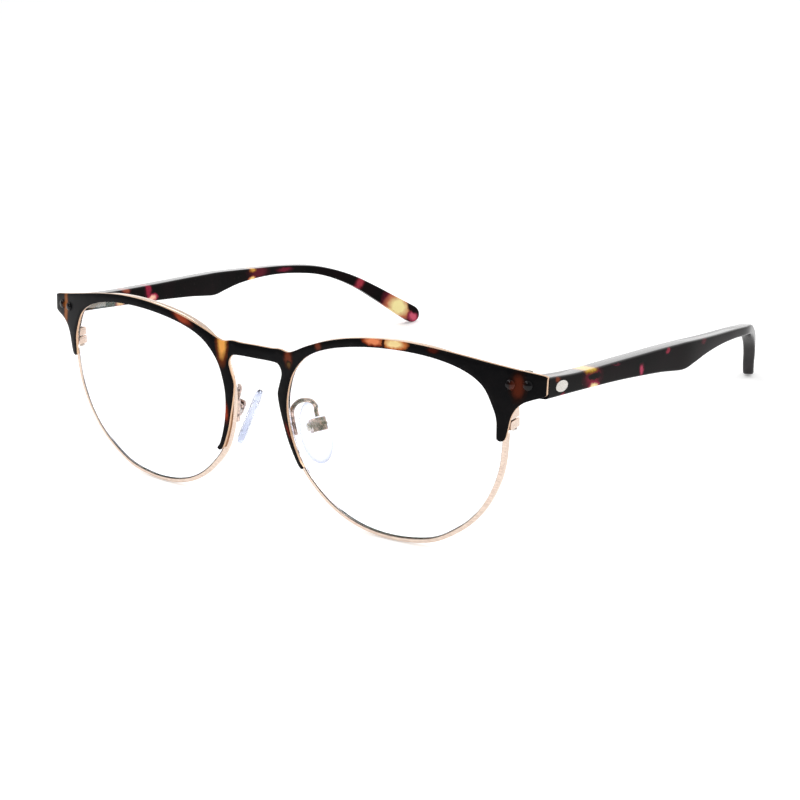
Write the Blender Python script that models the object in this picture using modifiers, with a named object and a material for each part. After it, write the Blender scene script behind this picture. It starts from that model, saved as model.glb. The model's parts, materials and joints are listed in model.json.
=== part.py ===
"""Half rim eyeglasses: a stamped metal brow plate, wire rims, acetate temples on three-knuckle hinges.

Sizes below are in millimetres and are turned to metres as vertices are made.
+X is the wearer's left, the front faces -Y, +Z is up and the glasses stand on z = 0.
"""
import math

import bmesh
import bpy
from mathutils import Matrix, Vector

MM = 0.001
GAP = 0.3                 # left between pieces that touch
BACK_SHIFT = -74.985      # puts the middle of the whole depth on y = 0

# Front
LENS_BULGE = 125.0        # radius of the spherical lens surface
LENS_MIDDLE = (27.0, 26.0)
LEAN = 0.028              # how far the front leans back for each millimetre of height
BRIDGE_HALF = 12.0        # the bridge bends the other way inside this
PLATE_THICKNESS = 0.9
WIRE_WIDTH = 1.1
WIRE_DEPTH = 1.4
LENS_THICKNESS = 1.1
LOCK_X = 61.75            # the two blocks that close each rim
LOCK_Z = 31.1
LOCK_GAP = 2.6            # half the opening in the rim wire that they fill
LOCK_HEIGHT = 1.85        # of each block
LOCK_DEPTH = 3.4          # front to back
LOCK_SET_BACK = 1.3       # how far the blocks sit behind the wire's middle
RIVETS_X = (62.6, 66.0)
RIVET_Z = 39.0
RIVET_HOLE = 0.75
RIVET_SHANK = 0.58
RIVET_HEAD = (1.05, 0.5)  # radius and height of the dome

# Hinge
HINGE_X = 64.2
HINGE_Y = 11.2
HINGE_Z = 38.5
LEAF_HEIGHT = 3.4
LEAF_THICKNESS = 0.8
KNUCKLE_RADIUS = 1.2
PIN_RADIUS = 0.5
PIN_CLEARANCE = 0.06
KNUCKLE_GAP = 0.2
LEAF_PLATE = (12.95, 21.5, 2.4)   # start, end and height of the leaf let into the temple
LEAF_PLATE_X = (65.0, 65.9)

# Temple
TEMPLE_THICKNESS = (3.8, 3.0)     # at the hinge and at the tip
TEMPLE_TIP_Y = 147.6
TEMPLE_SLOPE = -0.155             # fall of the straight part behind the hinge
CORE_RADIUS = 0.4
CORE_PLAY = 0.25
CORE_ENDS = (13.5, 127.0)
ANCHOR = (20.5, 29.5, 2.2, 1.0)   # start, end, height and thickness of the serrated part
ANCHOR_TEETH = 6
EMBLEM = (15.0, 2.3, 1.2, 0.45)   # distance back, half length, half height and thickness

# Nose pads
PAD_SCREW = Vector((11.6, 9.5, 20.65))
PAD_MIDDLE = (1.32, 0.2, -3.0)    # middle of the pad from its screw: down, across, out
PAD_LENGTH, PAD_WIDTH, PAD_THICKNESS = 14.4, 7.6, 2.0
PAD_INSERT = (4.4, 8.4, 0.5)      # width, length and thickness of the stiff plate inside
INSERT_PLAY = 0.25
PAD_DOWN = Vector((0.373, -0.185, -0.909)).normalized()   # along the pad, towards its lower end
PAD_ACROSS = Vector((0.515, 0.856, 0.038)).normalized()   # along the pad screw
PAD_OUT = PAD_DOWN.cross(PAD_ACROSS).normalized()         # away from the nose

# Middle line of the rim wire (x, z), from the rim lock over the top to the nose and back below.
RIM_LINE = [
    (61.2, 31.0), (60.4, 34.2), (57.9, 38.9), (53.3, 42.0), (46.5, 43.9), (38.0, 44.6),
    (29.0, 44.1), (20.5, 42.4), (14.3, 39.6), (10.2, 35.2), (8.3, 30.2), (7.8, 25.0),
    (8.8, 18.9), (11.2, 12.9), (14.7, 8.5), (19.3, 4.6), (24.5, 2.05), (30.5, 0.735),
    (37.0, 0.685), (44.3, 2.05), (50.4, 5.5), (54.8, 9.5), (58.2, 14.7), (60.4, 20.6), (61.2, 27.0),
]
# Edges of the brow plate's left half (x, z).
TOP_EDGE = [
    (0.0, 38.9), (4.2, 38.9), (6.8, 39.1), (9.2, 38.8), (11.2, 39.4), (14.7, 41.0), (19.7, 42.8),
    (25.2, 44.2), (31.1, 45.05), (36.9, 45.35), (42.3, 45.2), (48.0, 44.6), (53.5, 43.75),
    (58.2, 42.9), (63.4, 41.95), (69.0, 40.95), (69.5, 40.4),
]
LOBE_EDGE = [
    (69.5, 37.2), (69.0, 36.75), (67.3, 36.2), (65.5, 35.5), (64.4, 34.7), (63.5, 33.6),
    (62.8, 32.0), (62.4, 30.0), (61.95, 28.0), (61.5, 27.3), (60.7, 27.1), (60.1, 27.6),
]
NASAL_EDGE = [
    (12.7, 13.1), (12.1, 12.6), (11.4, 12.9), (10.6, 14.2), (8.9, 18.1), (7.8, 21.9), (6.9, 25.5),
    (6.4, 28.4), (6.45, 29.8), (7.2, 32.1), (7.65, 33.9), (7.1, 35.3), (5.8, 36.0), (0.0, 36.0),
]
APERTURE_Z = (30.0, 13.9)         # the rounded part of the opening ends at these heights, outer and inner
# Temple edges: distance back, outer face, lower edge, upper edge.
TEMPLE_LINE = [
    (5.0, 69.25, 36.8, 41.4), (12.0, 69.5, 35.7, 40.1), (23.0, 70.0, 34.1, 38.1),
    (39.0, 71.0, 31.7, 36.15), (55.0, 72.3, 28.9, 34.35), (61.0, 72.8, 27.6, 33.65),
    (66.5, 73.3, 26.5, 32.95), (71.0, 73.6, 26.75, 32.3), (78.0, 73.75, 27.2, 31.2),
    (87.0, 73.65, 26.9, 29.8), (96.0, 73.4, 25.9, 28.4), (105.0, 72.7, 24.2, 26.7),
    (112.0, 71.0, 22.4, 25.0), (119.0, 68.8, 19.3, 22.4), (126.0, 66.6, 15.1, 18.9),
    (133.0, 64.1, 9.6, 14.5), (140.0, 61.3, 3.7, 9.6), (149.0, 58.0, -3.5, 3.5),
]

COLOURS = {
    "tortoise_lacquer": ((0.012, 0.010, 0.010), 0.30, 0.0),
    "rose_gold": ((0.78, 0.60, 0.46), 0.25, 1.0),
    "steel": ((0.60, 0.58, 0.56), 0.30, 1.0),
    "acetate": ((0.030, 0.008, 0.008), 0.15, 0.0),
    "lens": ((0.90, 0.93, 0.95), 0.05, 0.0),
    "silicone": ((0.85, 0.88, 0.92), 0.25, 0.0),
    "clear_resin": ((0.90, 0.92, 0.94), 0.12, 0.0),
}


# ---------------------------------------------------------------- scene helpers

def clear_scene():
    for obj in list(bpy.data.objects):
        bpy.data.objects.remove(obj)


def new_collection(name):
    collection = bpy.data.collections.new(name)
    bpy.context.scene.collection.children.link(collection)
    return collection


clear_scene()
PARTS = new_collection("half_rim_eyeglasses")
CUTTERS = new_collection("cutters")


def material(slot):
    found = bpy.data.materials.get(slot)
    if found:
        return found
    colour, roughness, metallic = COLOURS[slot]
    made = bpy.data.materials.new(slot)
    made.use_nodes = True
    shader = made.node_tree.nodes["Principled BSDF"]
    shader.inputs["Base Color"].default_value = (*colour, 1.0)
    shader.inputs["Roughness"].default_value = roughness
    shader.inputs["Metallic"].default_value = metallic
    return made


def place(x, y, z):
    """A point of the glasses, in metres."""
    return Vector((x, y + BACK_SHIFT, z)) * MM


def link(obj, collection):
    for old in list(obj.users_collection):
        old.objects.unlink(obj)
    collection.objects.link(obj)
    return obj


def as_cutter(obj):
    link(obj, CUTTERS)
    obj.hide_render = True
    obj.display_type = "WIRE"
    return obj


def as_part(obj, name, slot):
    link(obj, PARTS)
    obj.name = name
    obj.data.name = name
    obj.data.materials.clear()
    obj.data.materials.append(material(slot))
    return obj


def freeze(obj):
    """Turns a curve, or a mesh with modifiers, into a plain welded mesh in world space."""
    bpy.context.view_layer.update()
    graph = bpy.context.evaluated_depsgraph_get()
    mesh = bpy.data.meshes.new_from_object(obj.evaluated_get(graph))
    mesh.transform(obj.matrix_world)
    mesh_edit = bmesh.new()
    mesh_edit.from_mesh(mesh)
    bmesh.ops.remove_doubles(mesh_edit, verts=mesh_edit.verts, dist=0.001 * MM)
    mesh_edit.to_mesh(mesh)
    mesh_edit.free()
    frozen = bpy.data.objects.new(obj.name, mesh)
    PARTS.objects.link(frozen)
    bpy.data.objects.remove(obj)
    return frozen


def boolean(obj, operation, *tools):
    """Cuts, joins or intersects obj with the tools, which are kept as cutters."""
    for tool in tools:
        as_cutter(tool)
        step = obj.modifiers.new(operation.lower(), "BOOLEAN")
        step.operation = operation
        step.object = tool
    frozen = freeze(obj)
    for tool in tools:
        bpy.data.objects.remove(tool)
    return frozen


def smooth(obj, angle=35.0):
    obj.data.shade_smooth()
    obj.data.set_sharp_from_angle(angle=math.radians(angle))
    return obj


def mirrored(obj, name):
    """The same piece for the wearer's right side."""
    mesh = obj.data.copy()
    mesh.transform(Matrix.Scale(-1.0, 4, (1.0, 0.0, 0.0)))
    mesh.flip_normals()
    copy = bpy.data.objects.new(name, mesh)
    PARTS.objects.link(copy)
    return copy


# ---------------------------------------------------------------- shape helpers

def flowing(points, steps, closed=False):
    """A Catmull-Rom curve through the points, with some steps between each two."""
    count = len(points)
    made = []
    for i in range(count if closed else count - 1):
        def at(k):
            index = (i + k) % count if closed else min(max(i + k, 0), count - 1)
            return Vector(points[index])
        before, start, end, after = at(-1), at(0), at(1), at(2)
        for step in range(steps):
            t = step / steps
            made.append(0.5 * (2 * start + (end - before) * t
                               + (2 * before - 5 * start + 4 * end - after) * t * t
                               + (3 * start - before - 3 * end + after) * t ** 3))
    if not closed:
        made.append(Vector(points[-1]))
    return made


def evenly(points, count, start=0.0, end=None):
    """Points at equal distances along a line of points, from start to end."""
    lengths = [0.0]
    for a, b in zip(points, points[1:]):
        lengths.append(lengths[-1] + (b - a).length)
    end = lengths[-1] if end is None else end
    made, k = [], 0
    for i in range(count):
        target = start + (end - start) * i / (count - 1)
        while k < len(points) - 2 and lengths[k + 1] < target:
            k += 1
        part = (target - lengths[k]) / (lengths[k + 1] - lengths[k])
        made.append(points[k].lerp(points[k + 1], part))
    return made


def inset(outline, distance):
    """A closed outline moved inwards, square to itself."""
    count = len(outline)
    middle = sum(outline, Vector((0.0, 0.0))) / count
    made = []
    for i, point in enumerate(outline):
        along = (outline[(i + 1) % count] - outline[i - 1]).normalized()
        inward = Vector((-along.y, along.x))
        if inward.dot(middle - point) < 0:
            inward = -inward
        made.append(point + inward * distance)
    return made


def front_depth(x, z):
    """How far back the face of the front is at a place (x, z)."""
    x = abs(x)
    middle_x, middle_z = LENS_MIDDLE
    if x < BRIDGE_HALF:
        slope = (middle_x - BRIDGE_HALF) / LENS_BULGE
        edge = (middle_x - BRIDGE_HALF) ** 2 / (2 * LENS_BULGE)
        across = edge + slope * (BRIDGE_HALF ** 2 - x * x) / (2 * BRIDGE_HALF)
    else:
        across = (x - middle_x) ** 2 / (2 * LENS_BULGE)
    return across + (z - middle_z) ** 2 / (2 * LENS_BULGE) + LEAN * z


def wire_depth(x, z):
    """Middle of the rim wire, front to back."""
    return front_depth(x, z) + PLATE_THICKNESS + GAP + WIRE_DEPTH / 2


def box(centre, size, turn=None):
    """A box at a place of the glasses; turn is a rotation of its own axes."""
    bpy.ops.mesh.primitive_cube_add(size=1.0)
    obj = bpy.context.object
    shape = Matrix.Diagonal((*[s * MM for s in size], 1.0))
    turn = turn.to_4x4() if turn else Matrix.Identity(4)
    obj.data.transform(Matrix.Translation(place(*centre)) @ turn @ shape)
    return link(obj, PARTS)


def rod(centre, axis, radius, length, sides=20, top_radius=None):
    """A cylinder or cone about an axis, centred on a place of the glasses."""
    top = radius if top_radius is None else top_radius
    bpy.ops.mesh.primitive_cone_add(vertices=sides, radius1=radius * MM, radius2=top * MM,
                                    depth=length * MM)
    obj = bpy.context.object
    turn = Vector(axis).to_track_quat("Z", "Y").to_matrix().to_4x4()
    obj.data.transform(Matrix.Translation(place(*centre)) @ turn)
    return link(obj, PARTS)


def axes(right, up):
    """A rotation whose X and Z axes point as given."""
    z = Vector(up).normalized()
    x = (Vector(right) - Vector(right).dot(z) * z).normalized()
    return Matrix((x, z.cross(x), z)).transposed()


def prism(outline, low_y, high_y):
    """A solid with an outline of (x, z) points, running straight back."""
    curve = bpy.data.curves.new("prism", "CURVE")
    curve.dimensions = "2D"
    curve.fill_mode = "BOTH"
    curve.extrude = (high_y - low_y) / 2 * MM
    spline = curve.splines.new("POLY")
    spline.points.add(len(outline) - 1)
    for point, (x, z) in zip(spline.points, outline):
        point.co = (x * MM, z * MM, 0.0, 1.0)
    spline.use_cyclic_u = True
    obj = bpy.data.objects.new("prism", curve)
    PARTS.objects.link(obj)
    obj.rotation_euler.x = math.radians(90)
    obj.location = place(0.0, (low_y + high_y) / 2, 0.0)
    return freeze(obj)


def curved_sheet(outline, depth, thickness, spacing):
    """A sheet that follows the curved face of the front, cut to an outline of (x, z) points.

    depth is how far its own face lies behind the face of the front.
    """
    margin = 2.0
    low_x, high_x = min(p[0] for p in outline) - margin, max(p[0] for p in outline) + margin
    low_z, high_z = min(p[1] for p in outline) - margin, max(p[1] for p in outline) + margin
    columns, rows = round((high_x - low_x) / spacing), round((high_z - low_z) / spacing)
    bpy.ops.mesh.primitive_grid_add(x_subdivisions=columns, y_subdivisions=rows, size=1.0)
    sheet = link(bpy.context.object, PARTS)
    for vertex in sheet.data.vertices:
        x = low_x + (vertex.co.x + 0.5) * (high_x - low_x)
        z = low_z + (vertex.co.y + 0.5) * (high_z - low_z)
        vertex.co = place(x, front_depth(x, z) + depth, z)
    wall = sheet.modifiers.new("wall", "SOLIDIFY")
    wall.thickness = thickness * MM
    wall.offset = -1.0
    return boolean(sheet, "INTERSECT", prism(outline, -8.0, 26.0))


def wire(path, radius, flat=0.0, resolution=1, name="wire"):
    """A wire along places of the glasses. flat adds straight sides front to back."""
    curve = bpy.data.curves.new(name, "CURVE")
    curve.dimensions = "3D"
    curve.twist_mode = "Z_UP" if flat else "MINIMUM"
    curve.bevel_depth = radius * MM
    curve.bevel_resolution = resolution
    curve.extrude = flat / 2 * MM
    curve.use_fill_caps = True
    spline = curve.splines.new("POLY")
    spline.points.add(len(path) - 1)
    for point, (x, y, z) in zip(spline.points, path):
        at = place(x, y, z)
        point.co = (at.x, at.z, -at.y, 1.0)
    obj = bpy.data.objects.new(name, curve)
    PARTS.objects.link(obj)
    obj.rotation_euler.x = math.radians(90)
    return freeze(obj)


def loft(rings):
    """A closed solid through rings of equal counts, each a list of places of the glasses."""
    mesh_edit = bmesh.new()
    made = [[mesh_edit.verts.new(place(*point)) for point in ring] for ring in rings]
    for a, b in zip(made, made[1:]):
        for i in range(len(a)):
            j = (i + 1) % len(a)
            mesh_edit.faces.new((a[i], a[j], b[j], b[i]))
    mesh_edit.faces.new(made[0][::-1])
    mesh_edit.faces.new(made[-1])
    bmesh.ops.recalc_face_normals(mesh_edit, faces=mesh_edit.faces)
    mesh = bpy.data.meshes.new("loft")
    mesh_edit.to_mesh(mesh)
    mesh_edit.free()
    obj = bpy.data.objects.new("loft", mesh)
    PARTS.objects.link(obj)
    return obj


def rounded(obj, width, segments=2):
    """Rounds the sharp edges of a piece."""
    edge = obj.modifiers.new("edge", "BEVEL")
    edge.width = width * MM
    edge.segments = segments
    edge.limit_method = "ANGLE"
    edge.angle_limit = math.radians(40)
    return freeze(obj)


# ---------------------------------------------------------------- the front

def rim_outline(count):
    return evenly(flowing(RIM_LINE, 12, closed=True) + [Vector(RIM_LINE[0])], count + 1)[:-1]


def plate_outline():
    """The brow plate's whole outline: the left half and its mirror image."""
    upper, lower = APERTURE_Z
    opening = inset(rim_outline(96), WIRE_WIDTH)
    lowest_inner = [p for p in opening if p.x < 20 and p.y < lower]
    opening = [p for p in opening if p not in lowest_inner]
    opening = [p for p in opening if p.y > upper or p.x < 20]
    half = (flowing(TOP_EDGE, 2) + flowing(LOBE_EDGE, 2) + opening + flowing(NASAL_EDGE, 2))
    half = [p for p in half if p.x > 0.0]
    return half + [Vector((-p.x, p.y)) for p in reversed(half)]


def along_rivet(x):
    """Square to the plate's face, pointing back, at a distance x from the middle."""
    middle_x, middle_z = LENS_MIDDLE
    rise = (RIVET_Z - middle_z) / LENS_BULGE + LEAN
    return Vector((-(x - middle_x) / LENS_BULGE, 1.0, -rise)).normalized()


def rivet_place(x, behind):
    face = Vector((x, front_depth(x, RIVET_Z), RIVET_Z))
    return face + along_rivet(x) * behind


def brow_plate():
    plate = curved_sheet(plate_outline(), 0.0, PLATE_THICKNESS, 4.6)
    holes = []
    for x in RIVETS_X:
        for side in (1, -1):
            centre, axis = rivet_place(x, PLATE_THICKNESS / 2), along_rivet(x)
            holes.append(rod((side * centre.x, centre.y, centre.z), (side * axis.x, axis.y, axis.z),
                             RIVET_HOLE, 4.0, 12))
    return as_part(smooth(boolean(plate, "DIFFERENCE", *holes)), "brow_plate", "tortoise_lacquer")


def rim_wire():
    line = flowing(RIM_LINE, 12, closed=True) + [Vector(RIM_LINE[0])]
    length = sum((b - a).length for a, b in zip(line, line[1:]))
    points = evenly(line, 52, LOCK_GAP, length - LOCK_GAP)
    path = [(x, wire_depth(x, z), z) for x, z in points]
    rim = wire(path, WIRE_WIDTH / 2, WIRE_DEPTH - WIRE_WIDTH)
    return as_part(smooth(rim), "left_rim_wire", "rose_gold")


def lens():
    outline = inset(rim_outline(56), WIRE_WIDTH / 2 + GAP)
    depth = PLATE_THICKNESS + GAP + (WIRE_DEPTH - LENS_THICKNESS) / 2
    return as_part(smooth(curved_sheet(outline, depth, LENS_THICKNESS, 6.0)), "left_lens", "lens")


def rim_lock():
    """The two blocks that close the rim wire about the lens, and their screw."""
    middle_y = wire_depth(LOCK_X, LOCK_Z) + LOCK_SET_BACK
    screw_y = middle_y + 0.4
    pieces = []
    for name, direction in (("upper", 1), ("lower", -1)):
        z = LOCK_Z + direction * (LOCK_HEIGHT + GAP) / 2
        block = rounded(box((LOCK_X, middle_y, z), (1.5, LOCK_DEPTH, LOCK_HEIGHT)), 0.2)
        hole = rod((LOCK_X, screw_y, z), (0, 0, 1), 0.48, 4.0, 12)
        block = boolean(block, "DIFFERENCE", hole)
        pieces.append(as_part(smooth(block), f"left_closing_block_{name}", "rose_gold"))
    foot = LOCK_Z - LOCK_HEIGHT - GAP / 2
    shank = rod((LOCK_X, screw_y, LOCK_Z), (0, 0, 1), 0.36, 2 * LOCK_HEIGHT + 0.1, 12)
    head = rod((LOCK_X, screw_y, foot - 0.35), (0, 0, 1), 0.6, 0.4, 16, 0.7)
    neck = rod((LOCK_X, screw_y, foot), (0, 0, 1), 0.36, 0.5, 12)
    slot = box((LOCK_X, screw_y, foot - 0.55), (1.6, 0.2, 0.3))
    screw = boolean(boolean(head, "UNION", shank, neck), "DIFFERENCE", slot)
    pieces.append(as_part(smooth(screw), "left_rim_screw", "steel"))
    return pieces


def rivet(x, name):
    """A round-headed rivet through the brow plate and the hinge leaf."""
    back = PLATE_THICKNESS + GAP + LEAF_THICKNESS
    axis = along_rivet(x)
    head_radius, head_height = RIVET_HEAD
    bpy.ops.mesh.primitive_uv_sphere_add(segments=16, ring_count=8, radius=1.0)
    head = link(bpy.context.object, PARTS)
    flatten = Matrix.Diagonal((head_radius * MM, head_radius * MM, head_height * MM, 1.0))
    turn = axis.to_track_quat("Z", "Y").to_matrix().to_4x4()
    head.data.transform(Matrix.Translation(place(*rivet_place(x, -0.1))) @ turn @ flatten)
    waste = box(rivet_place(x, 1.4), (4.0, 4.0, 3.0), turn.to_3x3())
    head = boolean(head, "DIFFERENCE", waste)
    shank = rod(rivet_place(x, back / 2), axis, RIVET_SHANK, back + 0.3, 12)
    tail = rod(rivet_place(x, back + 0.13), axis, 0.72, 0.12, 16, 0.64)
    return as_part(smooth(boolean(head, "UNION", shank, tail)), name, "tortoise_lacquer")


# ---------------------------------------------------------------- hinges

def leaf_turn():
    """Axes of the front leaf: X along the plate, Y square to it."""
    square = along_rivet(HINGE_X)
    along = Vector((square.y, -square.x, 0.0)).normalized()
    return Matrix((along, square, along.cross(square))).transposed()


def knuckle_levels():
    """Middle height and length of the lower, middle and upper knuckle."""
    low, high = HINGE_Z - LEAF_HEIGHT / 2, HINGE_Z + LEAF_HEIGHT / 2
    length = (LEAF_HEIGHT - 2 * KNUCKLE_GAP) / 3
    return (low + length / 2, length), (HINGE_Z, length), (high - length / 2, length)


def hinge_front_leaf():
    turn = leaf_turn()
    behind = PLATE_THICKNESS + GAP + LEAF_THICKNESS / 2
    centre = Vector((HINGE_X, front_depth(HINGE_X, HINGE_Z), HINGE_Z)) + along_rivet(HINGE_X) * behind
    leaf = rounded(box(centre, (6.0, LEAF_THICKNESS, LEAF_HEIGHT), turn), 0.15, 1)
    holes = [rod(rivet_place(x, behind), along_rivet(x), RIVET_HOLE, 3.0, 12) for x in RIVETS_X]
    leaf = boolean(leaf, "DIFFERENCE", *holes)
    lower, _, upper = knuckle_levels()
    for z, length in (lower, upper):
        barrel = rod((HINGE_X, HINGE_Y, z), (0, 0, 1), KNUCKLE_RADIUS, length, 16)
        web_depth = HINGE_Y - centre.y
        web = box((HINGE_X - 0.2, centre.y + web_depth / 2, z), (1.0, web_depth, length))
        leaf = boolean(leaf, "UNION", barrel, web)
    bore = rod((HINGE_X, HINGE_Y, HINGE_Z), (0, 0, 1), PIN_RADIUS + PIN_CLEARANCE, 8.0, 16)
    return as_part(smooth(boolean(leaf, "DIFFERENCE", bore)), "left_hinge_front_leaf", "steel")


def hinge_screw():
    top = HINGE_Z + LEAF_HEIGHT / 2
    shank = rod((HINGE_X, HINGE_Y, HINGE_Z + 0.2), (0, 0, 1), PIN_RADIUS, LEAF_HEIGHT + 0.2, 16)
    head = rod((HINGE_X, HINGE_Y, top + 0.4), (0, 0, 1), 1.0, 0.5, 20, 0.85)
    slot = box((HINGE_X, HINGE_Y, top + 0.65), (2.4, 0.25, 0.4))
    screw = boolean(boolean(head, "UNION", shank), "DIFFERENCE", slot)
    return as_part(smooth(screw), "left_hinge_screw", "steel")


def temple_leaf_plate(extra):
    """The flat of the temple's hinge leaf, or with extra its pocket in the temple."""
    start, end, height = LEAF_PLATE
    low, high = LEAF_PLATE_X
    middle = (start + end) / 2
    slope = axes((1, 0, 0), (0, -TEMPLE_SLOPE, 1))
    return box(((low + high) / 2, middle, temple_middle(middle)),
               (high - low + 2 * extra, end - start + 2 * extra, height + 2 * extra), slope)


def temple_leaf_web(extra):
    """What joins the middle knuckle to the flat."""
    _, (z, length), _ = knuckle_levels()
    low, high = HINGE_X, LEAF_PLATE_X[1]
    start, end = HINGE_Y, LEAF_PLATE[0] + 0.4
    return box(((low + high) / 2, (start + end) / 2, z),
               (high - low + 2 * extra, end - start + 2 * extra, length + 2 * extra))


def hinge_temple_leaf():
    _, (z, length), _ = knuckle_levels()
    barrel = rod((HINGE_X, HINGE_Y, z), (0, 0, 1), KNUCKLE_RADIUS, length, 16)
    bore = rod((HINGE_X, HINGE_Y, HINGE_Z), (0, 0, 1), PIN_RADIUS + PIN_CLEARANCE, 8.0, 16)
    leaf = boolean(temple_leaf_plate(0.0), "UNION", temple_leaf_web(0.0), barrel)
    return as_part(smooth(boolean(leaf, "DIFFERENCE", bore)), "left_hinge_temple_leaf", "steel")


# ---------------------------------------------------------------- temples

TEMPLE_FLOW = flowing(TEMPLE_LINE, 8)


def temple_edges(y):
    """Outer face, lower edge and upper edge at a distance back."""
    for a, b in zip(TEMPLE_FLOW, TEMPLE_FLOW[1:]):
        if a[0] <= y <= b[0]:
            return a.lerp(b, (y - a[0]) / (b[0] - a[0]))[1:]
    raise ValueError(f"the temple has no place at {y}")


def temple_thickness(y):
    at_hinge, at_tip = TEMPLE_THICKNESS
    part = min(max((y - 60.0) / (TEMPLE_TIP_Y - 60.0), 0.0), 1.0)
    return at_hinge + (at_tip - at_hinge) * part


def temple_middle(y):
    _, low, high = temple_edges(y)
    return (low + high) / 2


def temple_centre(y):
    outer, low, high = temple_edges(y)
    return Vector((outer - temple_thickness(y) / 2, y, (low + high) / 2))


def temple_ring(y, shrink, sides=16, squareness=3.6):
    """One section, square to the temple's middle line. shrink rounds off the tip."""
    along = (temple_centre(y + 0.6) - temple_centre(y - 0.6)).normalized()
    across = along.cross(Vector((0, 0, 1))).normalized()
    up = across.cross(along)
    _, low, high = temple_edges(y)
    half_width = temple_thickness(y) / 2 * (0.55 + 0.45 * shrink)
    half_height = (high - low) / 2 * up.z * shrink
    ring = []
    for i in range(sides):
        turn = 2 * math.pi * (i + 0.5) / sides
        c, s = math.cos(turn), math.sin(turn)
        reach = (abs(c) ** squareness + abs(s) ** squareness) ** (-1 / squareness)
        ring.append(temple_centre(y) + across * (half_width * reach * c) + up * (half_height * reach * s))
    return ring


def temple_body():
    tip_round = 3.0
    rings = []
    ahead = [6.0 + 6.0 * i for i in range(10)] + [64.0, 67.0, 70.0, 74.0]
    ahead += [80.0 + 6.0 * i for i in range(11)] + [TEMPLE_TIP_Y - tip_round]
    for y in ahead:
        rings.append(temple_ring(y, 1.0))
    for part in (0.35, 0.65, 0.88, 0.99):
        rings.append(temple_ring(TEMPLE_TIP_Y - tip_round * (1 - part), math.sqrt(1 - part * part)))
    return loft(rings)


def core_path(start, end, count):
    step = (end - start) / (count - 1)
    return [tuple(temple_centre(start + i * step)) for i in range(count)]


def anchor_box(extra, start_extra=0.0):
    start, end, height, thickness = ANCHOR
    start -= start_extra
    middle = (start + end) / 2
    centre = temple_centre(middle)
    slope = axes((1, -0.04, 0), (0, -TEMPLE_SLOPE, 1))
    return box(centre, (thickness + 2 * extra, end - start + 2 * extra, height + 2 * extra), slope)


def temple_core():
    """The wire inside the temple, with its serrated anchor behind the hinge."""
    start, end, height, _ = ANCHOR
    anchor = anchor_box(0.0)
    slope = axes((1, 0, 0), (0, -TEMPLE_SLOPE, 1))
    notches = []
    for i in range(ANCHOR_TEETH):
        y = start + (end - start) * (i + 0.5) / ANCHOR_TEETH
        for direction in (1, -1):
            notches.append(box((temple_centre(y).x, y, temple_middle(y) + direction * height / 2),
                               (3.0, 0.7, 0.9), slope))
    anchor = boolean(anchor, "DIFFERENCE", *notches)
    core = wire(core_path(*CORE_ENDS, 24), CORE_RADIUS)
    return as_part(smooth(boolean(anchor, "UNION", core)), "left_temple_core", "steel")


def plate_back(x):
    return front_depth(x, HINGE_Z) + PLATE_THICKNESS / along_rivet(x).y


def emblem(extra):
    """A plain oval let into the outer face, or with extra its recess."""
    y, half_length, half_height, thickness = EMBLEM
    outer = temple_edges(y)[0]
    turn = axes((1, -0.04, 0), (0, -TEMPLE_SLOPE, 1)) @ Matrix.Rotation(math.radians(90), 3, "Y")
    depth = thickness + 2 * extra
    bpy.ops.mesh.primitive_cylinder_add(vertices=24, radius=1.0, depth=1.0)
    oval = link(bpy.context.object, PARTS)
    size = Matrix.Diagonal(((half_height + extra) * MM, (half_length + extra) * MM, depth * MM, 1.0))
    centre = place(outer + 0.08 - thickness / 2, y, temple_middle(y))
    oval.data.transform(Matrix.Translation(centre) @ turn.to_4x4() @ size)
    return oval


def temple():
    body = temple_body()
    square = along_rivet(HINGE_X)
    turn = leaf_turn()
    # Everything ahead of the brow plate's back, and of the front leaf with its rivets, is cut away.
    waste_depth = 12.0
    plate_face = Vector((67.6, plate_back(67.6), HINGE_Z)) + square * (GAP + 0.1 - waste_depth / 2)
    leaf_face = Vector((HINGE_X, plate_back(HINGE_X), HINGE_Z))
    leaf_face += square * (2 * GAP + LEAF_THICKNESS + 0.25 - waste_depth / 2)
    leaf_waste = box(leaf_face, (6.0 + 3 * GAP, waste_depth, 12.0), turn)
    body = boolean(body, "DIFFERENCE", box(plate_face, (30.0, waste_depth, 20.0), turn), leaf_waste)
    body = boolean(body, "DIFFERENCE", temple_leaf_plate(0.25), temple_leaf_web(0.25))
    channel = wire(core_path(ANCHOR[1] - 2.5, CORE_ENDS[1] + 1.0, 24), CORE_RADIUS + CORE_PLAY)
    body = boolean(body, "DIFFERENCE", anchor_box(CORE_PLAY, 14.0), channel)   # open at the hinge end
    body = boolean(body, "DIFFERENCE", emblem(0.15))
    return as_part(smooth(body, 50), "left_temple", "acetate")


# ---------------------------------------------------------------- nose pads

def pad_place(down, across, out):
    """A place measured from the pad screw along the pad's own directions."""
    return PAD_SCREW + PAD_DOWN * down + PAD_ACROSS * across + PAD_OUT * out


def pad_turn():
    return Matrix((PAD_ACROSS, PAD_DOWN, -PAD_OUT)).transposed()


def pad_oval(width, length, thickness, middle):
    bpy.ops.mesh.primitive_cylinder_add(vertices=24, radius=0.5, depth=1.0)
    oval = link(bpy.context.object, PARTS)
    size = Matrix.Diagonal((width * MM, length * MM, thickness * MM, 1.0))
    oval.data.transform(Matrix.Translation(place(*pad_place(*middle))) @ pad_turn().to_4x4() @ size)
    return oval


def pad_stem(extra):
    """The stud of the insert that stands out of the pad, with extra the hole for it."""
    return box(pad_place(0.0, 0.0, -1.6), (1.5 + 2 * extra, 1.5 + 2 * extra, 2.4), pad_turn())


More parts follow.
